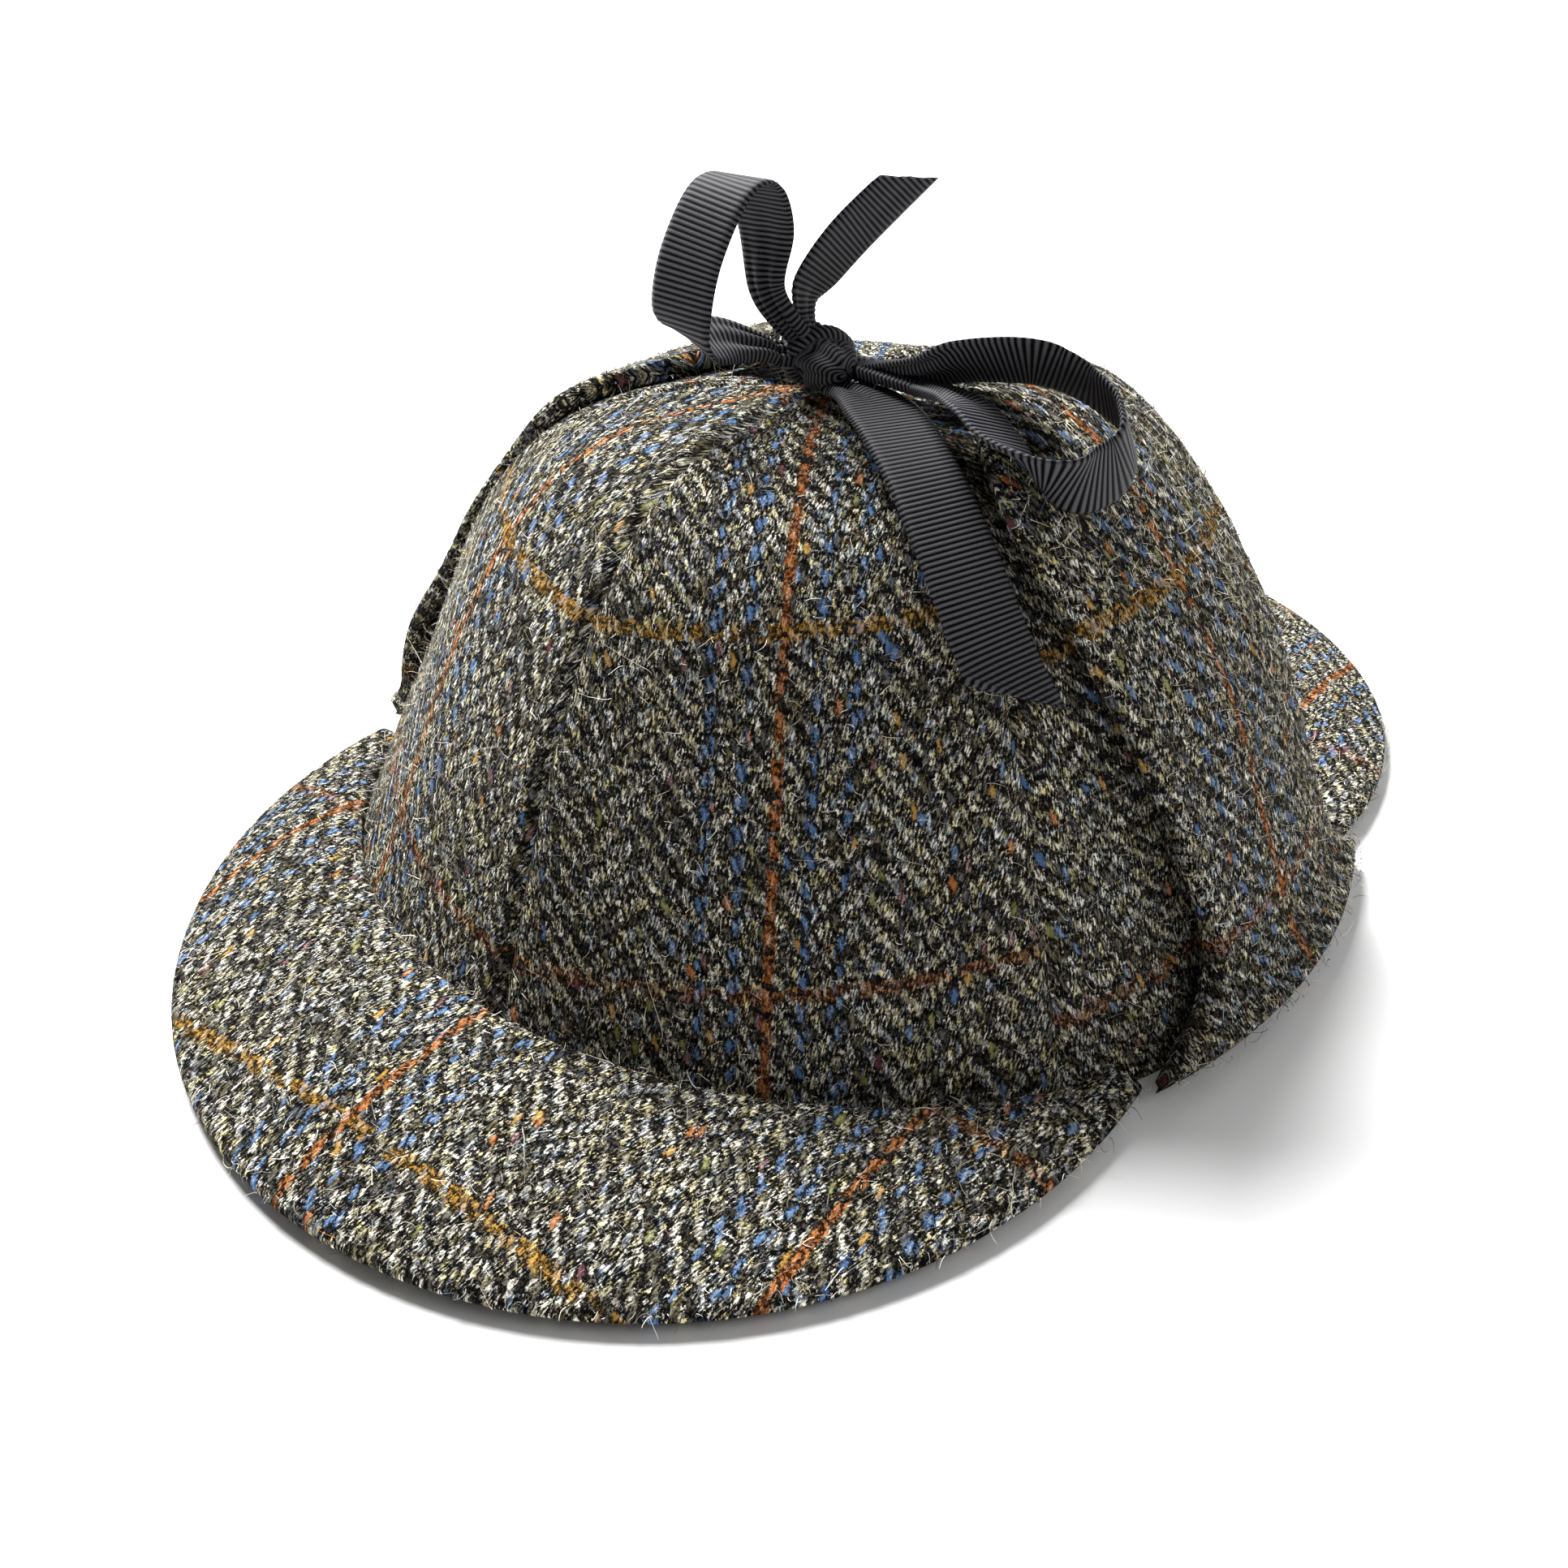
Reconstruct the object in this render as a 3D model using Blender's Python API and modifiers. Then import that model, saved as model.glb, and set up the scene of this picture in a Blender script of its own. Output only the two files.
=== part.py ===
import math

import bmesh
import bpy
from mathutils import Vector

# Sizes in metres. The front of the hat faces -Y, the wearer's left is +X, the rim lies at z = 0.
CROWN_HALF_WIDTH = 0.0955
CROWN_HALF_LENGTH = 0.0975
CROWN_HEIGHT = 0.0888
CROWN_WALL = 0.003
CROWN_LIP = 0.0015
CROWN_TAPER = 0.60
CROWN_SHOULDER = 4.25
PANEL_COUNT = 6
SEAM_RIDGE = 0.030
RIM_RISE = 0.0060
RIM_FLAT_SHARE = 0.30

VISOR_HALF_WIDTH = 0.0908
VISOR_REACH = 0.1388
VISOR_SPRING = 0.0483
VISOR_THICKNESS = 0.0034
VISOR_EDGE_HEIGHT = 0.0019
VISOR_EDGE_WAVE = 0.0006
VISOR_FULLNESS = 1.0
VISOR_SKEW = 0.0024
VISOR_BACK_DRAW = 0.0055
VISOR_DOME = 0.0030
VISOR_CROWN_SWEEP = 65.0
VISOR_EDGE_SWEEP = 95.0

FLAP_LENGTH = 0.1180
FLAP_HALF_WIDTH = 0.0300
FLAP_SET_BACK = 0.0060
LEFT_FLAP_THICKNESS = 0.0048
RIGHT_FLAP_THICKNESS = 0.0036
FLAP_FOLD_THICKNESS = 0.0078
FLAP_FOLD_HEIGHT = 0.0150
FLAP_FOLD_RISE = 0.0021
FLAP_LIFT = 0.0024

RIBBON_WIDTH = 0.0125
RIBBON_THICKNESS = 0.0009
KNOT_PLACE = (0.0020, -0.0064)
KNOT_CLEARANCE = 0.0018
KNOT_HALF_SIZE = (0.0078, 0.0062, 0.0050)
KNOT_TURN = -25.0
TIE_PLACE = 0.0020
TIE_BACK = 0.40
TIE_GATHER = 0.50
TIE_REACH = 0.84
SEAM_GAP = 0.0003

CROWN_SEGMENTS = 54
CROWN_ROWS = 17
VISOR_SEGMENTS = 36
VISOR_ROWS = 5
FLAP_ROWS = 16
FLAP_COLUMNS = 10

# Along a flap from rim to tip: half width, shift to the front and lift, as shares of the named sizes.
LEFT_FLAP = [
    {"along": 0.000, "half": 1.30, "fore": 0.17, "lift": 0.55},
    {"along": 0.030, "half": 1.16, "fore": 0.12, "lift": 0.55},
    {"along": 0.080, "half": 0.94, "fore": 0.04, "lift": 0.70},
    {"along": 0.180, "half": 0.82, "fore": 0.00, "lift": 1.00},
    {"along": 0.300, "half": 0.84, "fore": 0.00, "lift": 1.00},
    {"along": 0.400, "half": 0.87, "fore": 0.00, "lift": 1.00},
    {"along": 0.500, "half": 0.92, "fore": 0.00, "lift": 0.90},
    {"along": 0.590, "half": 0.96, "fore": 0.00, "lift": 0.70},
    {"along": 0.680, "half": 0.98, "fore": 0.00, "lift": 0.70},
    {"along": 0.770, "half": 0.99, "fore": 0.00, "lift": 1.15},
    {"along": 0.830, "half": 0.94, "fore": 0.00, "lift": 1.55},
    {"along": 0.890, "half": 0.82, "fore": 0.00, "lift": 1.80},
    {"along": 0.940, "half": 0.66, "fore": 0.00, "lift": 1.80},
    {"along": 0.975, "half": 0.50, "fore": 0.00, "lift": 1.65},
    {"along": 1.000, "half": 0.34, "fore": 0.00, "lift": 1.50},
]
RIGHT_FLAP = [
    {"along": 0.000, "half": 1.00, "fore": 0.26, "lift": 0.75},
    {"along": 0.030, "half": 0.96, "fore": 0.30, "lift": 0.80},
    {"along": 0.080, "half": 0.92, "fore": 0.40, "lift": 1.30},
    {"along": 0.180, "half": 0.86, "fore": 0.50, "lift": 1.70},
    {"along": 0.300, "half": 0.86, "fore": 0.50, "lift": 1.60},
    {"along": 0.400, "half": 0.87, "fore": 0.44, "lift": 1.10},
    {"along": 0.500, "half": 0.92, "fore": 0.30, "lift": 0.50},
    {"along": 0.590, "half": 0.96, "fore": 0.14, "lift": 0.20},
    {"along": 0.680, "half": 0.98, "fore": 0.04, "lift": 0.16},
    {"along": 0.770, "half": 0.99, "fore": 0.00, "lift": 0.16},
    {"along": 0.830, "half": 0.94, "fore": 0.00, "lift": 0.16},
    {"along": 0.890, "half": 0.82, "fore": 0.00, "lift": 0.16},
    {"along": 0.940, "half": 0.66, "fore": 0.00, "lift": 0.16},
    {"along": 0.975, "half": 0.50, "fore": 0.00, "lift": 0.16},
    {"along": 1.000, "half": 0.34, "fore": 0.00, "lift": 0.16},
]

# Soft dents of the crown: place round the crown in degrees, height share, spread, depth share.
CROWN_DENTS = [
    {"turn": 32.0, "height": 0.66, "spread": 22.0, "tall": 0.20, "depth": 0.014},
    {"turn": -62.0, "height": 0.50, "spread": 30.0, "tall": 0.26, "depth": 0.026},
    {"turn": 205.0, "height": 0.62, "spread": 26.0, "tall": 0.20, "depth": 0.016},
    {"turn": 140.0, "height": 0.62, "spread": 26.0, "tall": 0.28, "depth": 0.014},
]

# Where the crown's top sags: plan place and reach in shares of the half axes, drop in shares of the height.
CROWN_SAGS = [
    {"x": -0.50, "y": 0.02, "reach": 0.34, "drop": 0.050},
    {"x": 0.42, "y": 0.42, "reach": 0.34, "drop": 0.045},
    {"x": -0.10, "y": 0.50, "reach": 0.40, "drop": 0.030},
]

# Ribbon courses in ribbon widths from the knot's centre. The width direction turns from +X towards
# +Y by "turn" and rises by "lean", both in degrees; "wide" is the share of the full width.
STANDING_LOOP = [
    {"x": -0.14, "y": -0.28, "z": 0.36, "turn": 0.0, "lean": 20.0, "wide": 0.40},
    {"x": -0.26, "y": -0.44, "z": 0.60, "turn": 0.0, "lean": 26.0, "wide": 0.46},
    {"x": -0.48, "y": -0.50, "z": 1.00, "turn": 0.0, "lean": 22.0, "wide": 0.60},
    {"x": -0.53, "y": -0.42, "z": 1.70, "turn": 2.0, "lean": 2.0, "wide": 0.90},
    {"x": -0.52, "y": -0.66, "z": 2.27, "turn": 2.0, "lean": 0.0, "wide": 1.00},
    {"x": -0.54, "y": -1.02, "z": 2.42, "turn": 2.0, "lean": 0.0, "wide": 1.00},
    {"x": -0.60, "y": -1.38, "z": 2.20, "turn": 2.0, "lean": 0.0, "wide": 1.00},
    {"x": -0.69, "y": -1.75, "z": 1.60, "turn": 2.0, "lean": 0.0, "wide": 1.00},
    {"x": -0.73, "y": -1.92, "z": 1.04, "turn": 0.0, "lean": -2.0, "wide": 1.00},
    {"x": -0.74, "y": -1.88, "z": 0.72, "turn": -6.0, "lean": -10.0, "wide": 1.00},
    {"x": -0.71, "y": -1.62, "z": 0.53, "turn": -14.0, "lean": -22.0, "wide": 0.98},
    {"x": -0.58, "y": -1.20, "z": 0.44, "turn": -22.0, "lean": -32.0, "wide": 0.80},
    {"x": -0.40, "y": -0.74, "z": 0.26, "turn": -28.0, "lean": -36.0, "wide": 0.46},
    {"x": -0.34, "y": -0.50, "z": 0.12, "turn": -28.0, "lean": -36.0, "wide": 0.40},
]
LYING_LOOP = [
    {"x": 0.69, "y": -0.02, "z": -0.07, "turn": -77.0, "lean": 50.0, "wide": 0.33},
    {"x": 1.85, "y": -0.26, "z": 0.24, "turn": -77.0, "lean": 52.0, "wide": 0.60},
    {"x": 2.49, "y": -0.30, "z": 0.49, "turn": -77.0, "lean": 52.0, "wide": 0.90},
    {"x": 3.22, "y": -0.14, "z": 0.60, "turn": -77.0, "lean": 52.0, "wide": 1.00},
    {"x": 3.65, "y": 0.04, "z": 0.52, "turn": -77.0, "lean": 52.0, "wide": 1.00},
    {"x": 4.04, "y": 0.13, "z": 0.35, "turn": -77.0, "lean": 52.0, "wide": 1.00},
    {"x": 4.44, "y": 0.05, "z": 0.19, "turn": -77.0, "lean": 50.0, "wide": 1.00},
    {"x": 4.67, "y": -0.11, "z": 0.04, "turn": -82.0, "lean": 50.0, "wide": 1.00},
    {"x": 4.81, "y": -0.33, "z": -0.11, "turn": -86.0, "lean": 51.0, "wide": 1.00},
    {"x": 4.78, "y": -0.58, "z": -0.28, "turn": -96.0, "lean": 58.0, "wide": 1.00},
    {"x": 4.60, "y": -0.94, "z": -0.36, "turn": -92.0, "lean": 60.0, "wide": 1.00},
    {"x": 4.34, "y": -1.18, "z": -0.31, "turn": -70.0, "lean": 50.0, "wide": 1.00},
    {"x": 4.09, "y": -1.24, "z": -0.24, "turn": -66.0, "lean": 38.0, "wide": 1.00},
    {"x": 3.84, "y": -1.21, "z": -0.13, "turn": -82.0, "lean": 27.0, "wide": 1.00},
    {"x": 3.47, "y": -1.11, "z": 0.02, "turn": -89.0, "lean": 16.0, "wide": 1.00},
    {"x": 3.04, "y": -0.92, "z": 0.18, "turn": -86.0, "lean": 12.0, "wide": 0.92},
    {"x": 2.55, "y": -0.70, "z": 0.19, "turn": -86.0, "lean": 10.0, "wide": 0.56},
    {"x": 1.86, "y": -0.34, "z": 0.04, "turn": -90.0, "lean": 8.0, "wide": 0.34},
]
STANDING_TAIL = [
    {"x": -0.27, "y": 0.07, "z": 0.45, "turn": 100.0, "lean": -24.0, "wide": 0.52},
    {"x": -0.30, "y": 0.16, "z": 0.78, "turn": 100.0, "lean": -34.0, "wide": 0.86},
    {"x": -0.16, "y": 0.34, "z": 1.08, "turn": 99.0, "lean": -40.0, "wide": 1.00},
    {"x": 0.02, "y": 0.60, "z": 1.41, "turn": 98.0, "lean": -44.0, "wide": 1.00},
    {"x": 0.24, "y": 0.88, "z": 1.73, "turn": 97.0, "lean": -45.0, "wide": 0.96},
    {"x": 0.60, "y": 1.20, "z": 2.17, "turn": 97.0, "lean": -45.0, "wide": 0.90},
]
# Plan places in ribbon widths from the knot's centre, lift over the crown in ribbon widths.
FRONT_TAIL = [
    {"x": 0.54, "y": -0.36, "lift": 0.28, "wide": 0.40},
    {"x": 1.00, "y": -0.48, "lift": 0.36, "wide": 0.75},
    {"x": 1.55, "y": -0.76, "lift": 0.36, "wide": 1.00},
    {"x": 2.45, "y": -1.36, "lift": 0.34, "wide": 1.00},
    {"x": 3.20, "y": -1.79, "lift": 0.26, "wide": 1.00},
    {"x": 3.84, "y": -2.10, "lift": 0.22, "wide": 1.00},
    {"x": 4.22, "y": -2.22, "lift": 0.22, "wide": 1.00},
    {"x": 4.52, "y": -2.27, "lift": 0.25, "wide": 1.00},
]
FRONT_TAIL_SLANT = -0.48
STANDING_TAIL_SLANT = 0.27


def clear_scene():
    for item in list(bpy.data.objects):
        bpy.data.objects.remove(item, do_unlink=True)


def smooth_course(points, steps):
    """Points on a curve through all the given points, each a list of numbers."""
    out = []
    last = len(points) - 1
    for i in range(last):
        before, start = points[max(i - 1, 0)], points[i]
        end, after = points[i + 1], points[min(i + 2, last)]
        for k in range(steps):
            t = k / steps
            out.append(
                [
                    b
                    + 0.5 * (c - a) * t
                    + (a - 2.5 * b + 2 * c - 0.5 * d) * t * t
                    + 0.5 * (3 * b - a - 3 * c + d) * t**3
                    for a, b, c, d in zip(before, start, end, after)
                ]
            )
    out.append(list(points[-1]))
    return out


def table_value(table, key, column, place):
    """The table's value at a place, smooth between its rows."""
    rows = smooth_course([[row[key], row[column]] for row in table], 8)
    for (x0, y0), (x1, y1) in zip(rows, rows[1:]):
        if place <= x1:
            return y0 + (y1 - y0) * max(0.0, (place - x0) / max(x1 - x0, 1e-9))
    return rows[-1][1]


def seam_crest(turn):
    """1 at a panel's seam, 0 in its middle, less a little so the panels' middles lie lower."""
    return (1 - abs(math.sin(PANEL_COUNT / 2 * turn))) ** 1.4 - 0.28


def crown_scale(turn, share):
    """How far the crown swells or sinks at a plan share of its half axes."""
    ridge = SEAM_RIDGE * (4 * share * (1 - share)) ** 1.2 * seam_crest(turn)
    height = plain_height(share)
    dent = 0.0
    for row in CROWN_DENTS:
        past = turn - math.radians(row["turn"])
        off = math.degrees(math.atan2(math.sin(past), math.cos(past)))
        up = (height / CROWN_HEIGHT - row["height"]) / row["tall"]
        dent += row["depth"] * math.exp(-((off / row["spread"]) ** 2) - up * up)
    return 1 + ridge - dent


def plain_height(share):
    share = min(max(share, 0.0), 1.0)
    return (CROWN_HEIGHT + CROWN_LIP) * (1 - share**CROWN_SHOULDER) ** (1 / CROWN_TAPER) - CROWN_LIP


def sag_share(x, y):
    """What is left of the crown's height over a plan point given in shares of the half axes."""
    drop = 0.0
    for row in CROWN_SAGS:
        drop += row["drop"] * math.exp(-((x - row["x"]) ** 2 + (y - row["y"]) ** 2) / row["reach"] ** 2)
    return 1 - drop


def rim_share(height):
    """The plan share whose plain height is the given one."""
    part = (height + CROWN_LIP) / (CROWN_HEIGHT + CROWN_LIP)
    return (1 - max(part, 0.0) ** CROWN_TAPER) ** (1 / CROWN_SHOULDER)


RIM_FACTOR = 1 / rim_share(0.0)


def crown_point(turn, share):
    """A point of the crown's outside at a turn from the front, towards the wearer's left."""
    swell = crown_scale(turn, share) * share * RIM_FACTOR
    x, y = swell * math.sin(turn), -swell * math.cos(turn)
    return Vector((CROWN_HALF_WIDTH * x, CROWN_HALF_LENGTH * y, plain_height(share) * sag_share(x, y)))


def crown_height_at(x, y):
    """The height of the crown's outside over a plan point."""
    turn = math.atan2(x / CROWN_HALF_WIDTH, -y / CROWN_HALF_LENGTH)
    reach = math.hypot(x / CROWN_HALF_WIDTH, y / CROWN_HALF_LENGTH) / RIM_FACTOR
    share = reach
    for _ in range(12):
        share = min(reach / crown_scale(turn, min(share, 1.0)), 1.0)
    return plain_height(share) * sag_share(x / CROWN_HALF_WIDTH, y / CROWN_HALF_LENGTH)


def crown_normal_at(x, y):
    step = 0.0004
    fall_x = (crown_height_at(x + step, y) - crown_height_at(x - step, y)) / (2 * step)
    fall_y = (crown_height_at(x, y + step) - crown_height_at(x, y - step)) / (2 * step)
    return Vector((-fall_x, -fall_y, 1.0)).normalized()


def rim_height(turn):
    """The rim lies flat at the sides and rises to the middle of each visor."""
    part = (abs(math.cos(turn)) - RIM_FLAT_SHARE) / (1 - RIM_FLAT_SHARE)
    return RIM_RISE * max(part, 0.0) ** 1.5


def material(name, colour, roughness):
    made = bpy.data.materials.new(name)
    made.use_nodes = True
    shader = made.node_tree.nodes["Principled BSDF"]
    shader.inputs["Base Color"].default_value = colour
    shader.inputs["Roughness"].default_value = roughness
    return made


def add_object(name, mesh_data, collection, colour=None, roughness=0.9):
    made = bpy.data.objects.new(name, mesh_data)
    collection.objects.link(made)
    if colour:
        mesh_data.materials.append(material(name + "_cloth", colour, roughness))
        for face in mesh_data.polygons:
            face.use_smooth = True
    return made


def grid_mesh(name, rows, closed=False, tip=None):
    """A sheet through rows of points; closed joins each row's ends, tip closes the last row."""
    shape = bmesh.new()
    lines = [[shape.verts.new(point) for point in row] for row in rows]
    for low, high in zip(lines, lines[1:]):
        count = len(low)
        for i in range(count if closed else count - 1):
            shape.faces.new((low[i], low[(i + 1) % count], high[(i + 1) % count], high[i]))
    if tip is not None:
        top = shape.verts.new(tip)
        for i, start in enumerate(lines[-1]):
            shape.faces.new((start, lines[-1][(i + 1) % len(lines[-1])], top))
    shape.normal_update()
    data = bpy.data.meshes.new(name)
    shape.to_mesh(data)
    shape.free()
    return data


def thicken(item, thickness, offset, rounding=0.0, segments=2):
    solid = item.modifiers.new("Wall", "SOLIDIFY")
    solid.thickness = thickness
    solid.offset = offset
    solid.use_even_offset = False
    if item.vertex_groups:
        solid.vertex_group = item.vertex_groups[0].name
    if rounding:
        edge = item.modifiers.new("Edge", "BEVEL")
        edge.width = rounding
        edge.segments = segments
        edge.limit_method = "ANGLE"
        edge.angle_limit = math.radians(50)
    return item


def spaced_shares(start, count):
    """Plan shares from a start value to near the crown's middle, even along the profile."""
    steps = 400
    line = [start * (1 - k / steps) for k in range(steps + 1)]
    places = [(CROWN_HALF_WIDTH * s, plain_height(s)) for s in line]
    run = [0.0]
    for (x0, z0), (x1, z1) in zip(places, places[1:]):
        run.append(run[-1] + math.hypot(x1 - x0, z1 - z0))
    out, k = [], 0
    for i in range(count):
        goal = run[-1] * i / count
        while run[k + 1] < goal:
            k += 1
        t = (goal - run[k]) / (run[k + 1] - run[k])
        out.append(line[k] + (line[k + 1] - line[k]) * t)
    return out


def make_crown(collection):
    turns = [math.tau * i / CROWN_SEGMENTS for i in range(CROWN_SEGMENTS)]
    columns = []
    for turn in turns:
        start = rim_share(rim_height(turn) or -CROWN_LIP * 0.8)
        columns.append([crown_point(turn, share) for share in spaced_shares(start, CROWN_ROWS)])
    rows = [[column[j] for column in columns] for j in range(CROWN_ROWS)]
    data = grid_mesh("crown", rows, closed=True, tip=crown_point(0.0, 0.0))
    crown = add_object("crown", data, collection, (0.10, 0.10, 0.085, 1), 0.95)
    thicken(crown, CROWN_WALL, -1)
    bpy.ops.mesh.primitive_cube_add(size=1)
    floor = bpy.context.active_object
    floor.name = "rim_cutter"
    floor.scale = (3 * CROWN_HALF_WIDTH, 3 * CROWN_HALF_LENGTH, 4 * CROWN_WALL)
    floor.location = (0, 0, -2 * CROWN_WALL)
    floor.hide_render = True
    floor.display_type = "WIRE"
    cut = crown.modifiers.new("FlatRim", "BOOLEAN")
    cut.operation = "DIFFERENCE"
    cut.solver = "EXACT"
    cut.object = floor
    return crown, floor


def make_visor(name, end, draw, collection):
    """A visor, from the crown's outside just over the rim to the rounded edge; end is -1 at the back."""
    half = VISOR_THICKNESS / 2
    rows = []
    for i in range(VISOR_ROWS + 1):
        across = i / VISOR_ROWS
        row = []
        for j in range(VISOR_SEGMENTS + 1):
            side = 2 * j / VISOR_SEGMENTS - 1
            turn = math.radians(VISOR_CROWN_SWEEP) * side
            edge_turn = math.radians(VISOR_EDGE_SWEEP) * side
            root = crown_point(turn, rim_share(rim_height(turn) + half))
            out = Vector((root.x, root.y, 0)).normalized()
            root += out * SEAM_GAP * 1.7
            root.z = rim_height(turn) + half + 0.4 * SEAM_GAP
            reach = math.sin(edge_turn)
            edge = Vector(
                (
                    VISOR_HALF_WIDTH * math.copysign(abs(reach) ** VISOR_FULLNESS, reach)
                    + VISOR_SKEW * max(math.cos(edge_turn), 0.0),
                    -VISOR_SPRING
                    - (VISOR_REACH - VISOR_SPRING) * math.cos(edge_turn)
                    + draw * max(math.cos(edge_turn), 0.0) * (1 - reach) / 2,
                    VISOR_EDGE_HEIGHT + VISOR_EDGE_WAVE * math.cos(2 * edge_turn) ** 2,
                )
            )
            point = root.lerp(edge, across)
            point.z += VISOR_DOME * math.cos(turn) * math.sin(math.pi * across) ** 0.9
            point.y *= end
            row.append(point)
        rows.append(row[::end])
    data = grid_mesh(name, rows)
    visor = add_object(name, data, collection, (0.11, 0.105, 0.09, 1), 0.95)
    return thicken(visor, VISOR_THICKNESS, 0, VISOR_THICKNESS * 0.42)


def section_course(side, y, length, count):
    """Points up one side of the crown's outside at a given y, with each one's run from the rim."""
    reach = CROWN_HALF_WIDTH * math.sqrt(max(1 - (y / CROWN_HALF_LENGTH) ** 2, 0.0))
    points, run = [], []
    far = 0.0
    for k in range(count + 1):
        x = side * reach * (1 - 1.35 * k / count)
        z = crown_height_at(x, y) if k else 0.0
        point = Vector((x, y, z))
        if points:
            far += (point - points[-1]).length
        points.append(point)
        run.append(far)
        if far > length * 1.1:
            break
    return points, run


def along_course(points, run, far):
    for k in range(1, len(run)):
        if run[k] >= far:
            t = (far - run[k - 1]) / max(run[k] - run[k - 1], 1e-9)
            return points[k - 1].lerp(points[k], t)
    return points[-1].copy()


def make_flap(name, side, table, flap_wall, collection):
    """An ear flap, folded up from the rim: a sheet that follows the crown a little off it."""
    rows, thick = [], []
    for i in range(FLAP_ROWS + 1):
        along = (i / FLAP_ROWS) ** 1.05
        half = FLAP_HALF_WIDTH * table_value(table, "along", "half", along)
        middle = FLAP_SET_BACK - FLAP_HALF_WIDTH * table_value(table, "along", "fore", along)
        lift = FLAP_LIFT * table_value(table, "along", "lift", along)
        fold = max(0.0, 1 - along * FLAP_LENGTH / FLAP_FOLD_HEIGHT) ** 2
        wall = flap_wall + (FLAP_FOLD_THICKNESS - flap_wall) * fold
        thick.append(wall / FLAP_FOLD_THICKNESS)
        row = []
        for j in range(FLAP_COLUMNS + 1):
            across = 2 * j / FLAP_COLUMNS - 1
            y = middle + half * across
            shorter = 1 - 0.04 * abs(across) ** 3
            points, run = section_course(side, y, FLAP_LENGTH, 120)
            place = along_course(points, run, FLAP_LENGTH * along * shorter)
            normal = crown_normal_at(place.x, place.y)
            level = Vector((normal.x, normal.y, 0)).normalized()
            normal = normal.lerp(level, fold).normalized()
            place += normal * (lift + wall / 2)
            place.z += fold * (SEAM_GAP + FLAP_FOLD_RISE)
            row.append(place)
        rows.append(row if side > 0 else row[::-1])
    data = grid_mesh(name, rows)
    flap = add_object(name, data, collection, (0.10, 0.10, 0.085, 1), 0.95)
    set_walls(flap, thick, FLAP_COLUMNS + 1)
    return thicken(flap, FLAP_FOLD_THICKNESS, 0, flap_wall * 0.40)


def set_walls(item, shares, columns):
    """Each row's share of the full wall, kept as the weights of a vertex group."""
    group = item.vertex_groups.new(name="wall")
    for i, share in enumerate(shares):
        group.add(list(range(i * columns, (i + 1) * columns)), share, "REPLACE")


def knot_centre():
    x, y = KNOT_PLACE
    return Vector((x, y, crown_height_at(x, y) + KNOT_CLEARANCE + KNOT_HALF_SIZE[2]))


def ribbon_sheet(name, centres, widths, shares, slant, collection):
    """A ribbon through centre points, across each by its width direction, ends cut on a slant."""
    rows = []
    last = len(centres) - 1
    for i, centre in enumerate(centres):
        ahead = (centres[min(i + 1, last)] - centres[max(i - 1, 0)]).normalized()
        across = (widths[i] - ahead * widths[i].dot(ahead)).normalized()
        half = RIBBON_WIDTH / 2 * shares[i]
        run = slant * RIBBON_WIDTH * max(0.0, (i / last - 0.86) / 0.14)
        rows.append([centre + across * half * side + ahead * run * side for side in (-1, 0, 1)])
    data = grid_mesh(name, rows)
    ribbon = add_object(name, data, collection, (0.028, 0.029, 0.034, 1), 0.55)
    return thicken(ribbon, RIBBON_THICKNESS, 0)


def free_ribbon(name, table, slant, collection, steps=3):
    """A ribbon course given in space, in ribbon widths from the knot's centre."""
    knot = knot_centre()
    columns = ("x", "y", "z", "turn", "lean", "wide")
    course = smooth_course([[row[c] for c in columns] for row in table], steps)
    centres = [knot + Vector(row[:3]) * RIBBON_WIDTH for row in course]
    widths = []
    for row in course:
        turn, lean = math.radians(row[3]), math.radians(row[4])
        level = math.cos(lean)
        widths.append(Vector((level * math.cos(turn), level * math.sin(turn), math.sin(lean))))
    return ribbon_sheet(name, centres, widths, [row[5] for row in course], slant, collection)


def crown_ribbon(name, places, slant, collection):
    """A ribbon that follows the crown: plan places with a lift over it and a share of the width."""
    centres, normals = [], []
    for x, y, lift, _ in places:
        normal = crown_normal_at(x, y)
        normals.append(normal)
        centres.append(Vector((x, y, crown_height_at(x, y))) + normal * lift)
    last = len(centres) - 1
    widths = []
    for i, normal in enumerate(normals):
        ahead = centres[min(i + 1, last)] - centres[max(i - 1, 0)]
        widths.append(ahead.cross(normal).normalized())
    return ribbon_sheet(name, centres, widths, [row[3] for row in places], slant, collection)


def make_front_tail(collection):
    course = smooth_course([[row[c] for c in ("x", "y", "lift", "wide")] for row in FRONT_TAIL], 3)
    x, y = KNOT_PLACE
    places = [(x + r[0] * RIBBON_WIDTH, y + r[1] * RIBBON_WIDTH, r[2] * RIBBON_WIDTH, r[3]) for r in course]
    return crown_ribbon("bow_tail_front", places, FRONT_TAIL_SLANT, collection)


def make_tie(name, flap, side, table, flap_wall, collection):
    """The ribbon from the middle of a flap's end to the side of the knot."""
    knot_x, knot_y = KNOT_PLACE
    tip = min((abs(v.co.x) for v in flap.data.vertices), default=0.0)
    start_x = side * (tip - SEAM_GAP * 2)
    end_x = knot_x + side * KNOT_HALF_SIZE[0] * TIE_REACH
    start_lift = FLAP_LIFT * table[-1]["lift"] + flap_wall / 2
    end_lift = KNOT_CLEARANCE + KNOT_HALF_SIZE[2] * 0.6
    places = []
    for k in range(7):
        t = k / 6
        ease = t * t * (3 - 2 * t)
        places.append(
            (
                start_x + (end_x - start_x) * t,
                TIE_PLACE * (1 - ease) + (knot_y + TIE_BACK * RIBBON_WIDTH) * ease,
                start_lift + (end_lift - start_lift) * ease,
                1 - (1 - TIE_GATHER) * ease,
            )
        )
    return crown_ribbon(name, places, 0.0, collection)


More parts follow.
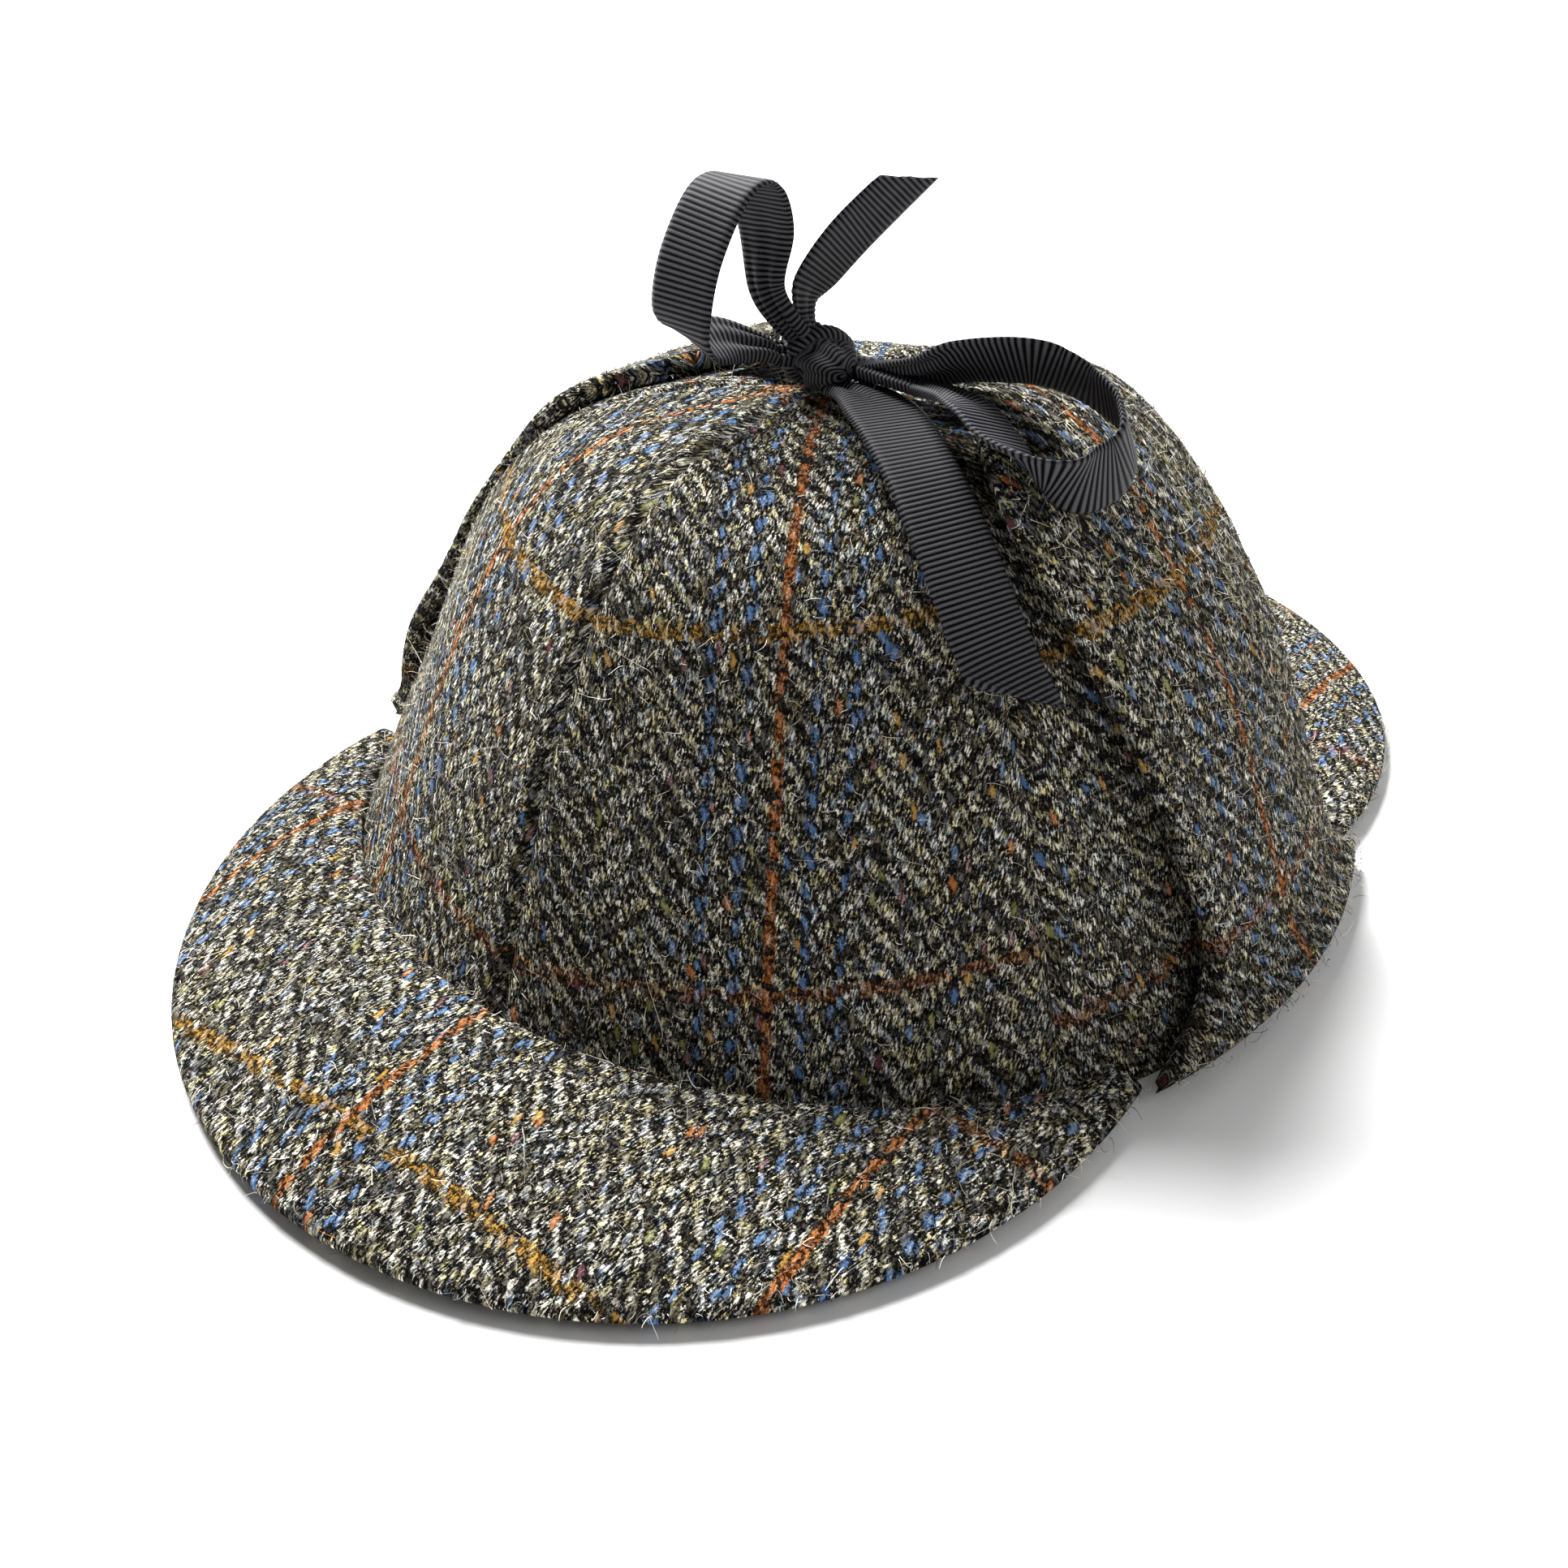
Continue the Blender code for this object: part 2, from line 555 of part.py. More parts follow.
def make_knot(collection):
    """The knot: a rounded lump with a pinched wrap round its middle."""
    bpy.ops.mesh.primitive_uv_sphere_add(segments=20, ring_count=12, radius=1)
    knot = bpy.context.active_object
    knot.name = "bow_knot"
    for vert in knot.data.vertices:
        x, y, z = vert.co
        waist = 1 - 0.14 * math.exp(-((x / 0.30) ** 2)) + 0.08 * math.exp(-(((abs(x) - 0.45) / 0.2) ** 2))
        vert.co = Vector((x, y * waist, z * waist))
    knot.scale = KNOT_HALF_SIZE
    knot.rotation_euler = (0, 0, math.radians(KNOT_TURN))
    knot.location = knot_centre()
    for old in list(knot.users_collection):
        old.objects.unlink(knot)
    collection.objects.link(knot)
    knot.data.materials.append(material("bow_knot_cloth", (0.028, 0.029, 0.034, 1), 0.55))
    for face in knot.data.polygons:
        face.use_smooth = True
    return knot


def main():
    clear_scene()
    collection = bpy.data.collections.new("deerstalker_hat")
    bpy.context.scene.collection.children.link(collection)
    make_crown(collection)
    make_visor("front_visor", 1, 0.0, collection)
    make_visor("back_visor", -1, VISOR_BACK_DRAW, collection)
    left = make_flap("left_ear_flap", 1, LEFT_FLAP, LEFT_FLAP_THICKNESS, collection)
    right = make_flap("right_ear_flap", -1, RIGHT_FLAP, RIGHT_FLAP_THICKNESS, collection)
    make_knot(collection)
    make_tie("left_tie", left, 1, LEFT_FLAP, LEFT_FLAP_THICKNESS, collection)
    make_tie("right_tie", right, -1, RIGHT_FLAP, RIGHT_FLAP_THICKNESS, collection)
    free_ribbon("bow_loop_standing", STANDING_LOOP, 0.0, collection)
    free_ribbon("bow_loop_lying", LYING_LOOP, 0.0, collection)
    free_ribbon("bow_tail_standing", STANDING_TAIL, STANDING_TAIL_SLANT, collection)
    make_front_tail(collection)


main()
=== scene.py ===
import math
from functools import partialmethod

import bpy
import numpy as np
from mathutils import Matrix


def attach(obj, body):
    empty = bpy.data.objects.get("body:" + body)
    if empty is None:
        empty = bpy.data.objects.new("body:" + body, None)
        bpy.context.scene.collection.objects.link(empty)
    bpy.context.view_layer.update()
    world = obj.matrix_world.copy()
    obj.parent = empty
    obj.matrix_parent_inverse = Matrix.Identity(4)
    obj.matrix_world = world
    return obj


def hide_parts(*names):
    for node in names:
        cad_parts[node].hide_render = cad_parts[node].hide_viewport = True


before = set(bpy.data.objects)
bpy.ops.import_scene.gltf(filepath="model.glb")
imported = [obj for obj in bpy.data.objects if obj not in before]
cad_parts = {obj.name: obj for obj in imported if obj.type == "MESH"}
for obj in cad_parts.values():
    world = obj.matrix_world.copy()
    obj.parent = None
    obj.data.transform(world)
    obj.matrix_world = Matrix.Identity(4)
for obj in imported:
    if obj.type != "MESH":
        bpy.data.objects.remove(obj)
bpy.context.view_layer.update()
print("frame loaded")

# Metres and degrees, in the solids' own frame: front at -Y, the wearer's left at +X, rim at z = 0.
crownShape = {
    "halfWidth": 0.0955, "halfLength": 0.0975, "height": 0.0888, "wall": 0.0028, "lip": 0.0015,
    "taper": 0.60, "shoulder": 4.25, "panels": 6, "rimRise": 0.0060, "rimFlatShare": 0.30, "rimCurve": 1.5,
    "seamRidge": 0.030, "ridgeSharp": 1.4, "ridgeLevel": 0.28, "ridgeFade": 1.2,
    "seamGroove": 0.0011, "seamGrooveWidth": 0.0011, "welt": 0.0005, "weltAway": 0.0034, "weltWidth": 0.0024,
    "seamFadeIn": 0.012, "uneven": 0.0007, "unevenSize": 0.050, "unevenSeed": 4, "unevenFrom": 0.02,
    "columns": 336, "rows": 116, "profileSteps": 400, "slopeStep": 0.0004, "flat": (0.600, 0.142),
    "clothStart": 0.2, "clothStep": (0.4, 0.013),
}
# Each dent: turn in degrees, middle as a share of the height, spread in degrees, tallness, depth.
crownDents = [
    (32.0, 0.66, 22.0, 0.20, 0.014),
    (-62.0, 0.50, 30.0, 0.26, 0.026),
    (205.0, 0.62, 26.0, 0.20, 0.016),
    (140.0, 0.62, 26.0, 0.28, 0.014),
]
# Each sag of the top: x, y and reach as shares of the half width and length, and its drop.
crownSags = [
    (-0.50, 0.02, 0.34, 0.050),
    (0.42, 0.42, 0.34, 0.045),
    (-0.10, 0.50, 0.40, 0.030),
]
# Each gore's check: the stripe's offset from the gore's middle, the first weft line's height along
# the gore, and how much a weft line climbs across the gore.
goreChecks = [
    (0.0000, 0.0790, 0.10),
    (0.0060, 0.0730, 0.06),
    (-0.0050, 0.0700, -0.05),
    (0.0040, 0.0760, 0.04),
    (-0.0070, 0.0720, -0.06),
    (0.0000, 0.0790, -0.10),
]


def meshObject(name, points, faces, layers, material):
    data = bpy.data.meshes.new(name)
    data.from_pydata(points.tolist(), [], [f for part in faces for f in part.tolist()])
    for layer, corners in layers.items():
        made = data.uv_layers.new(name=layer)
        places = np.concatenate([c.reshape(-1, 2) for c in corners])
        made.data.foreach_set("uv", places.ravel().astype(np.float32))
    data.polygons.foreach_set("use_smooth", np.ones(len(data.polygons), dtype=bool))
    data.materials.append(material)
    data.update()
    item = bpy.data.objects.new(name, data)
    bpy.context.scene.collection.objects.link(item)
    return item


# Faces from a ring of points to a tip.
def capFaces(start, columns, tip, flip=False):
    ring = np.arange(columns)
    faces = np.stack([ring + start, (ring + 1) % columns + start, np.full(columns, tip)], axis=-1)
    return faces[:, [1, 0, 2]] if flip else faces


def unit(vectors):
    return vectors / np.maximum(np.linalg.norm(vectors, axis=-1, keepdims=True), 1e-12)


def gridNormals(points, wrap=False):
    if wrap:
        across = np.roll(points, -1, axis=1) - np.roll(points, 1, axis=1)
    else:
        across = np.gradient(points, axis=1)
    return unit(np.cross(across, np.gradient(points, axis=0)))


def runLength(points, axis):
    steps = np.linalg.norm(np.diff(points, axis=axis), axis=-1)
    start = np.zeros_like(np.take(steps, [0], axis=axis))
    return np.concatenate([start, np.cumsum(steps, axis=axis)], axis=axis)


# Soft uneven lifts of hand-sewn cloth, from a few fixed waves in space.
def softUneven(points, size, seed, waves=7):
    draw = np.random.default_rng(seed)
    total = np.zeros(points.shape[:-1])
    for _ in range(waves):
        along = points @ unit(draw.normal(size=3)) * (2 * math.pi / size)
        total = total + np.sin(along * draw.uniform(0.6, 1.5) + draw.uniform(0, 6.28))
    return total / waves


# A smooth run through the rows of a table, with some steps from each row to the next.
def smoothCourse(table, steps):
    rows = np.array(table, dtype=float)
    before = np.vstack([rows[:1], rows[:-2]])
    start, end = rows[:-1], rows[1:]
    after = np.vstack([rows[2:], rows[-1:]])
    t = (np.arange(steps) / steps)[None, :, None]
    b, s, e, a = (part[:, None, :] for part in (before, start, end, after))
    course = 0.5 * (2 * s + (e - b) * t + (2 * b - 5 * s + 4 * e - a) * t * t
                    + (3 * s - b - 3 * e + a) * t ** 3)
    return np.vstack([course.reshape(-1, rows.shape[1]), rows[-1:]])


def plainHeight(share):
    share = np.clip(share, 0.0, 1.0)
    full = crownShape["height"] + crownShape["lip"]
    return full * (1 - share ** crownShape["shoulder"]) ** (1 / crownShape["taper"]) - crownShape["lip"]


def rimShare(height):
    part = (height + crownShape["lip"]) / (crownShape["height"] + crownShape["lip"])
    return (1 - np.maximum(part, 0.0) ** crownShape["taper"]) ** (1 / crownShape["shoulder"])


rimFactor = 1 / rimShare(0.0)


def crownScale(turn, share):
    seam = 1 - np.abs(np.sin(crownShape["panels"] / 2 * turn))
    crest = seam ** crownShape["ridgeSharp"] - crownShape["ridgeLevel"]
    fade = np.clip(4 * share * (1 - share), 0, 1) ** crownShape["ridgeFade"]
    ridge = crownShape["seamRidge"] * fade * crest
    height = plainHeight(share) / crownShape["height"]
    dent = 0.0
    for at, middle, spread, tall, depth in crownDents:
        around = turn - math.radians(at)
        off = np.degrees(np.arctan2(np.sin(around), np.cos(around)))
        up = (height - middle) / tall
        dent = dent + depth * np.exp(-((off / spread) ** 2) - up * up)
    return 1 + ridge - dent


def sagShare(x, y):
    drop = 0.0
    for sagX, sagY, reach, sag in crownSags:
        away = (x - sagX) ** 2 + (y - sagY) ** 2
        drop = drop + sag * np.exp(-away / reach ** 2)
    return 1 - drop


def crownPoint(turn, share):
    swell = crownScale(turn, share) * share * rimFactor
    x, y = swell * np.sin(turn), -swell * np.cos(turn)
    z = plainHeight(share) * sagShare(x, y)
    return np.stack([crownShape["halfWidth"] * x, crownShape["halfLength"] * y, z], axis=-1)


# Height of the crown's outside over a place; the share is found by closing in on it.
def crownHeightAt(x, y):
    px, py = x / crownShape["halfWidth"], y / crownShape["halfLength"]
    turn = np.arctan2(px, -py)
    reach = np.hypot(px, py) / rimFactor
    share = reach
    for _ in range(12):
        share = np.minimum(reach / crownScale(turn, np.minimum(share, 1.0)), 1.0)
    return plainHeight(share) * sagShare(px, py)


def crownNormalAt(x, y):
    step = crownShape["slopeStep"]
    fallX = (crownHeightAt(x + step, y) - crownHeightAt(x - step, y)) / (2 * step)
    fallY = (crownHeightAt(x, y + step) - crownHeightAt(x, y - step)) / (2 * step)
    return unit(np.stack([-fallX, -fallY, np.ones_like(fallX)], axis=-1))


def rimHeight(turn):
    part = (np.abs(np.cos(turn)) - crownShape["rimFlatShare"]) / (1 - crownShape["rimFlatShare"])
    return crownShape["rimRise"] * np.maximum(part, 0.0) ** crownShape["rimCurve"]


# One node socket with arithmetic, so that a shader reads as plain maths.
class Wire:
    def __init__(self, tree, socket):
        self.tree, self.socket = tree, socket

    def maths(self, operation, *others, swap=False):
        node = self.tree.nodes.new("ShaderNodeMath")
        node.operation = operation
        values = [self, *others]
        if swap:
            values.reverse()
        for place, value in zip(node.inputs, values):
            if isinstance(value, Wire):
                self.tree.links.new(value.socket, place)
            else:
                place.default_value = value
        return Wire(self.tree, node.outputs[0])

    __add__ = partialmethod(maths, "ADD")
    __sub__ = partialmethod(maths, "SUBTRACT")
    __rsub__ = partialmethod(maths, "SUBTRACT", swap=True)
    __mul__ = partialmethod(maths, "MULTIPLY")
    __truediv__ = partialmethod(maths, "DIVIDE")
    __pow__ = partialmethod(maths, "POWER")
    __abs__ = partialmethod(maths, "ABSOLUTE")
    floor = partialmethod(maths, "FLOOR")
    part = partialmethod(maths, "FRACT")
    over = partialmethod(maths, "GREATER_THAN")
    under = partialmethod(maths, "LESS_THAN")

    def wrap(self, low, high):
        return self.maths("WRAP", high, low)

    def root(self):
        return self.maths("MAXIMUM", 0.0).maths("SQRT")

    def smooth(self, low, high):
        values = {"Value": self, "From Min": low, "From Max": high}
        return addNode(self.tree, "ShaderNodeMapRange", {"interpolation_type": "SMOOTHSTEP"}, values)


# A new node whose inputs are wires or constants.
def addNode(tree, kind, settings=None, values=None, out=0):
    node = tree.nodes.new(kind)
    for key, value in (settings or {}).items():
        setattr(node, key, value)
    for key, value in (values or {}).items():
        if isinstance(value, Wire):
            tree.links.new(value.socket, node.inputs[key])
        else:
            node.inputs[key].default_value = value
    return Wire(tree, node.outputs[out])


# A material on one Principled shader, with the nodes that the cloths share.
class Shader:
    def __init__(self, name, values=None):
        self.material = bpy.data.materials.new(name)
        self.material.use_nodes = True
        self.tree = self.material.node_tree
        self.base = self.tree.nodes["Principled BSDF"]
        for key, value in (values or {}).items():
            self.base.inputs[key].default_value = value

    def node(self, kind, settings=None, values=None, out=0):
        return addNode(self.tree, kind, settings, values, out)

    def axes(self, vector):
        split = self.tree.nodes.new("ShaderNodeSeparateXYZ")
        self.tree.links.new(vector.socket, split.inputs[0])
        return [Wire(self.tree, socket) for socket in split.outputs]

    def layer(self, name):
        return self.axes(self.node("ShaderNodeUVMap", {"uv_map": name}))[:2]

    def join(self, x, y, z=0.0):
        return self.node("ShaderNodeCombineXYZ", None, {0: x, 1: y, 2: z})

    def chance(self, x, y, z=0.0):
        vector = self.join(x, y, z)
        return self.node("ShaderNodeTexWhiteNoise", {"noise_dimensions": "3D"}, {"Vector": vector})

    def noise(self, x, y, scale, detail=2.0, rough=0.6):
        values = {"Vector": self.join(x, y), "Scale": scale, "Detail": detail, "Roughness": rough}
        return self.node("ShaderNodeTexNoise", {"noise_dimensions": "2D"}, values)

    # Mix node with colours: sockets 6 and 7 are its colour inputs, output 2 its colour.
    def blend(self, share, first, second, kind="MIX"):
        settings = {"data_type": "RGBA", "blend_type": kind}
        return self.node("ShaderNodeMix", settings, {0: share, 6: first, 7: second}, out=2)

    def feed(self, key, wire):
        self.tree.links.new(wire.socket, self.base.inputs[key])

    def bump(self, height):
        values = {"Height": height, "Strength": 1.0, "Distance": 1.0}
        self.feed("Normal", self.node("ShaderNodeBump", None, values))


def shade(red, green, blue):
    return (red, green, blue, 1.0)


# Sizes in metres, scales in waves per metre, colours of the dyed wool.
tweed = {
    "yarn": 0.00112, "pick": 0.00120, "columnYarns": 8, "warpShare": 0.56, "relief": 0.00060,
    "rippleScale": 420.0, "waverScale": 520.0, "hairScale": 2300.0, "strandScale": 1500.0,
    "rippleWarp": 1.3, "hairWarp": 1.25, "waverWeft": 1.8, "hairWeft": 1.7, "drift": 0.26,
    "fleckShare": 0.060, "fleckStrength": 0.75, "glintWide": 0.0011, "glintLong": 0.0016,
    "fleckKinds": ((0.30, "ochre"), (0.52, "rust"), (0.66, "olive"), (0.86, "maroon")),
    "stripeEvery": 0.0690, "stripeStep": 0.0055, "lineEvery": 0.0560, "lineHalf": 1.05,
    "patchScale": 34.0, "patchDepth": 0.6, "patchBase": 1.05, "cutStep": 0.1,
    "cream": shade(0.98, 0.94, 0.80), "straw": shade(0.74, 0.63, 0.26), "sky": shade(0.40, 0.54, 0.76),
    "stone": shade(0.215, 0.200, 0.160), "earth": shade(0.055, 0.047, 0.036),
    "coal": shade(0.012, 0.011, 0.011), "night": shade(0.0020, 0.0020, 0.0024),
    "moss": shade(0.235, 0.205, 0.060), "slate": shade(0.095, 0.130, 0.215),
    "blue": shade(0.075, 0.160, 0.330), "rust": shade(0.400, 0.125, 0.024),
    "ochre": shade(0.460, 0.250, 0.050), "olive": shade(0.200, 0.200, 0.050),
    "maroon": shade(0.120, 0.030, 0.045),
}


# Herringbone twill from flat cloth places in metres: u runs across the warp yarns, v across the picks.
def tweedMaterial(name):
    made = Shader(name, {"Roughness": 1.0, "Specular IOR Level": 0.04})
    u, v = made.layer("weave")
    checkU, checkV = made.layer("check")
    ripple = made.noise(u, v, tweed["rippleScale"], 2.0) - 0.5
    waver = made.noise(v + 3.1, u + 1.7, tweed["waverScale"], 2.0) - 0.5
    hairU = made.noise(u + 0.7, v, tweed["hairScale"], 3.0, 0.75) - 0.5
    hairV = made.noise(v + 5.3, u, tweed["hairScale"], 3.0, 0.75) - 0.5
    cellU = u / tweed["yarn"] + ripple * tweed["rippleWarp"] + hairU * tweed["hairWarp"]
    cellV = v / tweed["pick"] + waver * tweed["waverWeft"] + hairV * tweed["hairWeft"]
    yarn = cellU.floor()
    side = cellU.part()
    step = tweed["columnYarns"]
    # The twill climbs over one column of yarns and falls over the next.
    climb = abs(yarn.wrap(-step, step))
    turned = (yarn / step).floor().wrap(0, 2)
    drift = made.chance(yarn, 3.0) * tweed["drift"]
    twill = (cellV + climb + turned * 2.0) / 4.0 + drift
    phase, flight = twill.part(), twill.floor()
    isWarp = phase.under(tweed["warpShare"])
    along = phase / tweed["warpShare"]
    # Each float is a plump lens that leans with the yarn's twist.
    lean = (side - 0.5) * 0.9 + (along - 0.5) * 0.35
    warpHeight = (1 - (lean * 2) ** 2 - (along * 2 - 1) ** 2 * 0.85).root()
    pick = cellV.floor()
    over = cellV.part()
    weftHeight = (1 - (over * 2 - 1) ** 2).root() * 0.62
    height = isWarp * warpHeight + (1 - isWarp) * weftHeight

    # Strands run along each float with a twist; fine ones carry the mixed colours of the wool.
    strand = made.noise(u * 1.60 + v * 0.42, v * 0.50, tweed["strandScale"], 3.0, 0.62)
    fineStrand = made.noise(u * 1.80 - v * 0.40 + 2.0, v * 0.58, tweed["strandScale"], 3.0, 0.66)
    warpLuck = made.chance(yarn, flight, 1.0)
    weftLuck = made.chance((cellU / 2).floor(), pick, 2.0)
    tone = made.chance(yarn, flight, 5.0)
    # Warp floats: dark wool with stone, moss and slate in it, and pale glints of cream, straw and sky.
    body = made.blend(strand.smooth(0.44, 0.56), tweed["coal"], tweed["stone"])
    mossy = (tone.smooth(0.25, 0.60) - tone.smooth(0.62, 0.70)) * fineStrand.smooth(0.40, 0.6)
    body = made.blend(mossy, body, tweed["moss"])
    body = made.blend(tone.over(0.84) * 0.45, body, tweed["slate"])
    glint = fineStrand.smooth(0.500, 0.570) * (warpLuck * 0.95 + 0.25)
    hue = made.chance((u / tweed["glintWide"]).floor(), (v / tweed["glintLong"]).floor(), 21.0)
    glintColour = made.blend(hue.over(0.62) * 0.75, tweed["cream"], tweed["straw"])
    glintColour = made.blend(hue.over(0.90) * 0.70, glintColour, tweed["sky"])
    warpColour = made.blend(glint, body, glintColour)
    warpColour = made.blend(warpLuck.under(0.20) * 0.60, warpColour, tweed["coal"])
    # Weft floats: darker, with fewer glints. Then single warp floats in the fleck colours.
    weftGlint = fineStrand.smooth(0.510, 0.590) * (weftLuck * 1.05)
    weftColour = made.blend(strand.smooth(0.45, 0.58), tweed["night"], tweed["earth"])
    weftColour = made.blend(weftGlint, weftColour, glintColour)
    fleck = made.chance(yarn, flight, 9.0)
    kind = made.chance(yarn, flight, 11.0)
    fleckColour = tweed["blue"]
    for limit, dye in tweed["fleckKinds"]:
        fleckColour = made.blend(kind.over(limit), fleckColour, tweed[dye])
    fleckHere = fleck.under(tweed["fleckShare"]) * tweed["fleckStrength"]
    warpColour = made.blend(fleckHere, warpColour, fleckColour)

    # Overcheck: groups of blue, blue, rust, blue, blue warp yarns, and single ochre or rust weft lines.
    gap = tweed["stripeEvery"] / 2
    place = checkU.wrap(-gap, gap) / tweed["stripeStep"]
    nearest = (place + ripple * 0.22 + 0.5).floor()
    onYarn = abs(place + ripple * 0.22 - nearest).under(0.80 * tweed["yarn"] / tweed["stripeStep"])
    inGroup = abs(nearest).under(2.5)
    isMiddle = abs(nearest).under(0.5)
    stripeColour = made.blend(isMiddle, tweed["blue"], tweed["rust"])
    stripeColour = made.blend(glint * 0.22, stripeColour, tweed["cream"])
    stripeColour = made.blend(strand.under(0.43) * 0.5, stripeColour, tweed["coal"])
    warpColour = made.blend(onYarn * inGroup * (tone.over(0.14) * 0.92), warpColour, stripeColour)
    weftRust = onYarn * inGroup * isMiddle * weftLuck.over(0.30) * 0.8
    weftColour = made.blend(weftRust, weftColour, tweed["rust"])
    line = checkV.wrap(-tweed["lineEvery"] / 2, tweed["lineEvery"] / 2) / tweed["pick"]
    which = (checkV / tweed["lineEvery"] + 0.5).floor().wrap(0, 2)
    lineColour = made.blend(which.over(0.5), tweed["ochre"], tweed["rust"])
    weftLine = abs(line + ripple * 1.8 + hairU * 1.6).under(tweed["lineHalf"])
    strength = (fineStrand.smooth(0.40, 0.54) * 0.80 + 0.20) * (1 - which * 0.40)
    weftColour = made.blend(weftLine * strength * weftLuck.over(0.15), weftColour, lineColour)
    warpColour = made.blend(weftLine * strength * tone.over(0.35) * 0.7, warpColour, lineColour)

    # Painted shade darkens the hollows between the floats toward the night colour, and wide patches vary the
    # light a little.
    colour = made.blend(isWarp, weftColour, warpColour)
    hollowShade = (height + fineStrand * 0.6 - 0.30).smooth(0.28, 0.82)
    colour = made.blend(hollowShade * -0.97 + 0.97, colour, tweed["night"])
    patch = made.noise(u, v, tweed["patchScale"], 2.0)
    lit = patch * tweed["patchDepth"] + tweed["patchBase"]
    colour = made.blend(1.0, colour, made.join(lit, lit, lit), "MULTIPLY")
    made.feed("Base Color", colour)
    made.bump(height * tweed["relief"] + (strand + fineStrand) * tweed["relief"] * 0.35)
    return made.material


# The ridge colour is a painted highlight on the rib crests and the groove colour is painted shade in the
# grooves.
grosgrain = {
    "pitch": 0.00090, "rough": 0.42, "sheen": 0.08, "threadScale": 5200.0, "relief": 0.00003,
    "ridge": shade(0.098, 0.098, 0.108), "groove": shade(0.0006, 0.0006, 0.0009),
}


# Ribs run across the ribbon; v is the length along it. The colour is painted light: a painted highlight, lit
# grey, on each rib's crest and painted shade, near black, in the grooves between.
def grosgrainMaterial(name):
    made = Shader(name, {"Specular IOR Level": grosgrain["sheen"]})
    u, v = made.layer("weave")
    rib = (v / grosgrain["pitch"]).part()
    crest = (1 - (rib * 2 - 1) ** 2).root()
    thread = made.noise(u, v * 6.0, grosgrain["threadScale"], 2.0)
    lit = (crest * (thread * 0.6 + 0.70)).smooth(0.74, 1.0)
    made.feed("Base Color", made.blend(lit, grosgrain["groove"], grosgrain["ridge"]))
    made.feed("Roughness", thread * 0.22 + grosgrain["rough"])
    made.bump(thread * grosgrain["relief"])
    return made.material


def fibreMaterial(name):
    made = Shader(name, {"Roughness": 0.9, "Specular IOR Level": 0.1})
    made.feed("Base Color", made.node("ShaderNodeAttribute", {"attribute_name": "tint"}))
    return made.material


tweedCrown = tweedMaterial("crownTweed")
tweedVisor = tweedMaterial("visorTweed")
tweedFlap = tweedMaterial("flapTweed")
ribbonCloth = grosgrainMaterial("ribbonGrosgrain")
fibreWool = fibreMaterial("looseWool")
print("materials made")


def finishPiece(item, slot, *nodes):
    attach(item, "root")
    if nodes:
        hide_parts(*nodes)


def quadIndex(rows, columns, wrap=False):
    r = np.arange(rows - 1)[:, None]
    c = np.arange(columns if wrap else columns - 1)[None, :]
    nextC = (c + 1) % columns
    corners = [r * columns + c, r * columns + nextC, (r + 1) * columns + nextC, (r + 1) * columns + c]
    return np.stack(corners, axis=-1).reshape(-1, 4)


# A sheet with a wall that thins to nothing over the edge's rounding, so its border is a soft roll.
# With follow, the cloth's u also runs over the extra length of a thick wall's outside.
def pillowSheet(name, middle, wall, rounding, layers, material, follow=0):
    rows, columns = middle.shape[:2]
    normals = gridNormals(middle)
    fromSides = np.minimum(runLength(middle, 1), runLength(middle[:, ::-1], 1)[:, ::-1])
    fromEnds = np.minimum(runLength(middle, 0), runLength(middle[::-1], 0)[::-1])
    into = np.clip(np.minimum(fromSides, fromEnds) / rounding, 0, 1)
    half = (wall * np.sqrt(np.maximum(1 - (1 - into) ** 2, 0.0)) / 2)[..., None]
    top = (middle + normals * half).reshape(-1, 3)
    under = (middle - normals * half).reshape(-1, 3)
    centre = columns // 2
    longer = runLength(top.reshape(middle.shape), 1) - runLength(middle, 1)
    longer = (longer - longer[:, centre:centre + 1])[..., None] * np.array([follow, 0.0])
    index = np.arange(rows * columns).reshape(rows, columns)
    border = np.zeros((rows, columns), dtype=bool)
    border[0], border[-1], border[:, 0], border[:, -1] = True, True, True, True
    low = np.where(border, index, index + rows * columns)
    quads = quadIndex(rows, columns)
    lowQuads = low.reshape(-1)[quads][:, ::-1]
    points = np.vstack([top, under])
    used = np.unique(np.concatenate([quads.ravel(), lowQuads.ravel()]))
    fresh = np.full(len(points), -1)
    fresh[used] = np.arange(len(used))
    corners = {}
    for key, values in layers.items():
        flatValues = (values + longer).reshape(-1, 2)
        corners[key] = [flatValues[quads], flatValues[quads[:, ::-1]]]
    return meshObject(name, points[used], [fresh[quads], fresh[lowQuads]], corners, material)


def layerArea(item):
    return sum(face.area for face in item.data.polygons) / 2


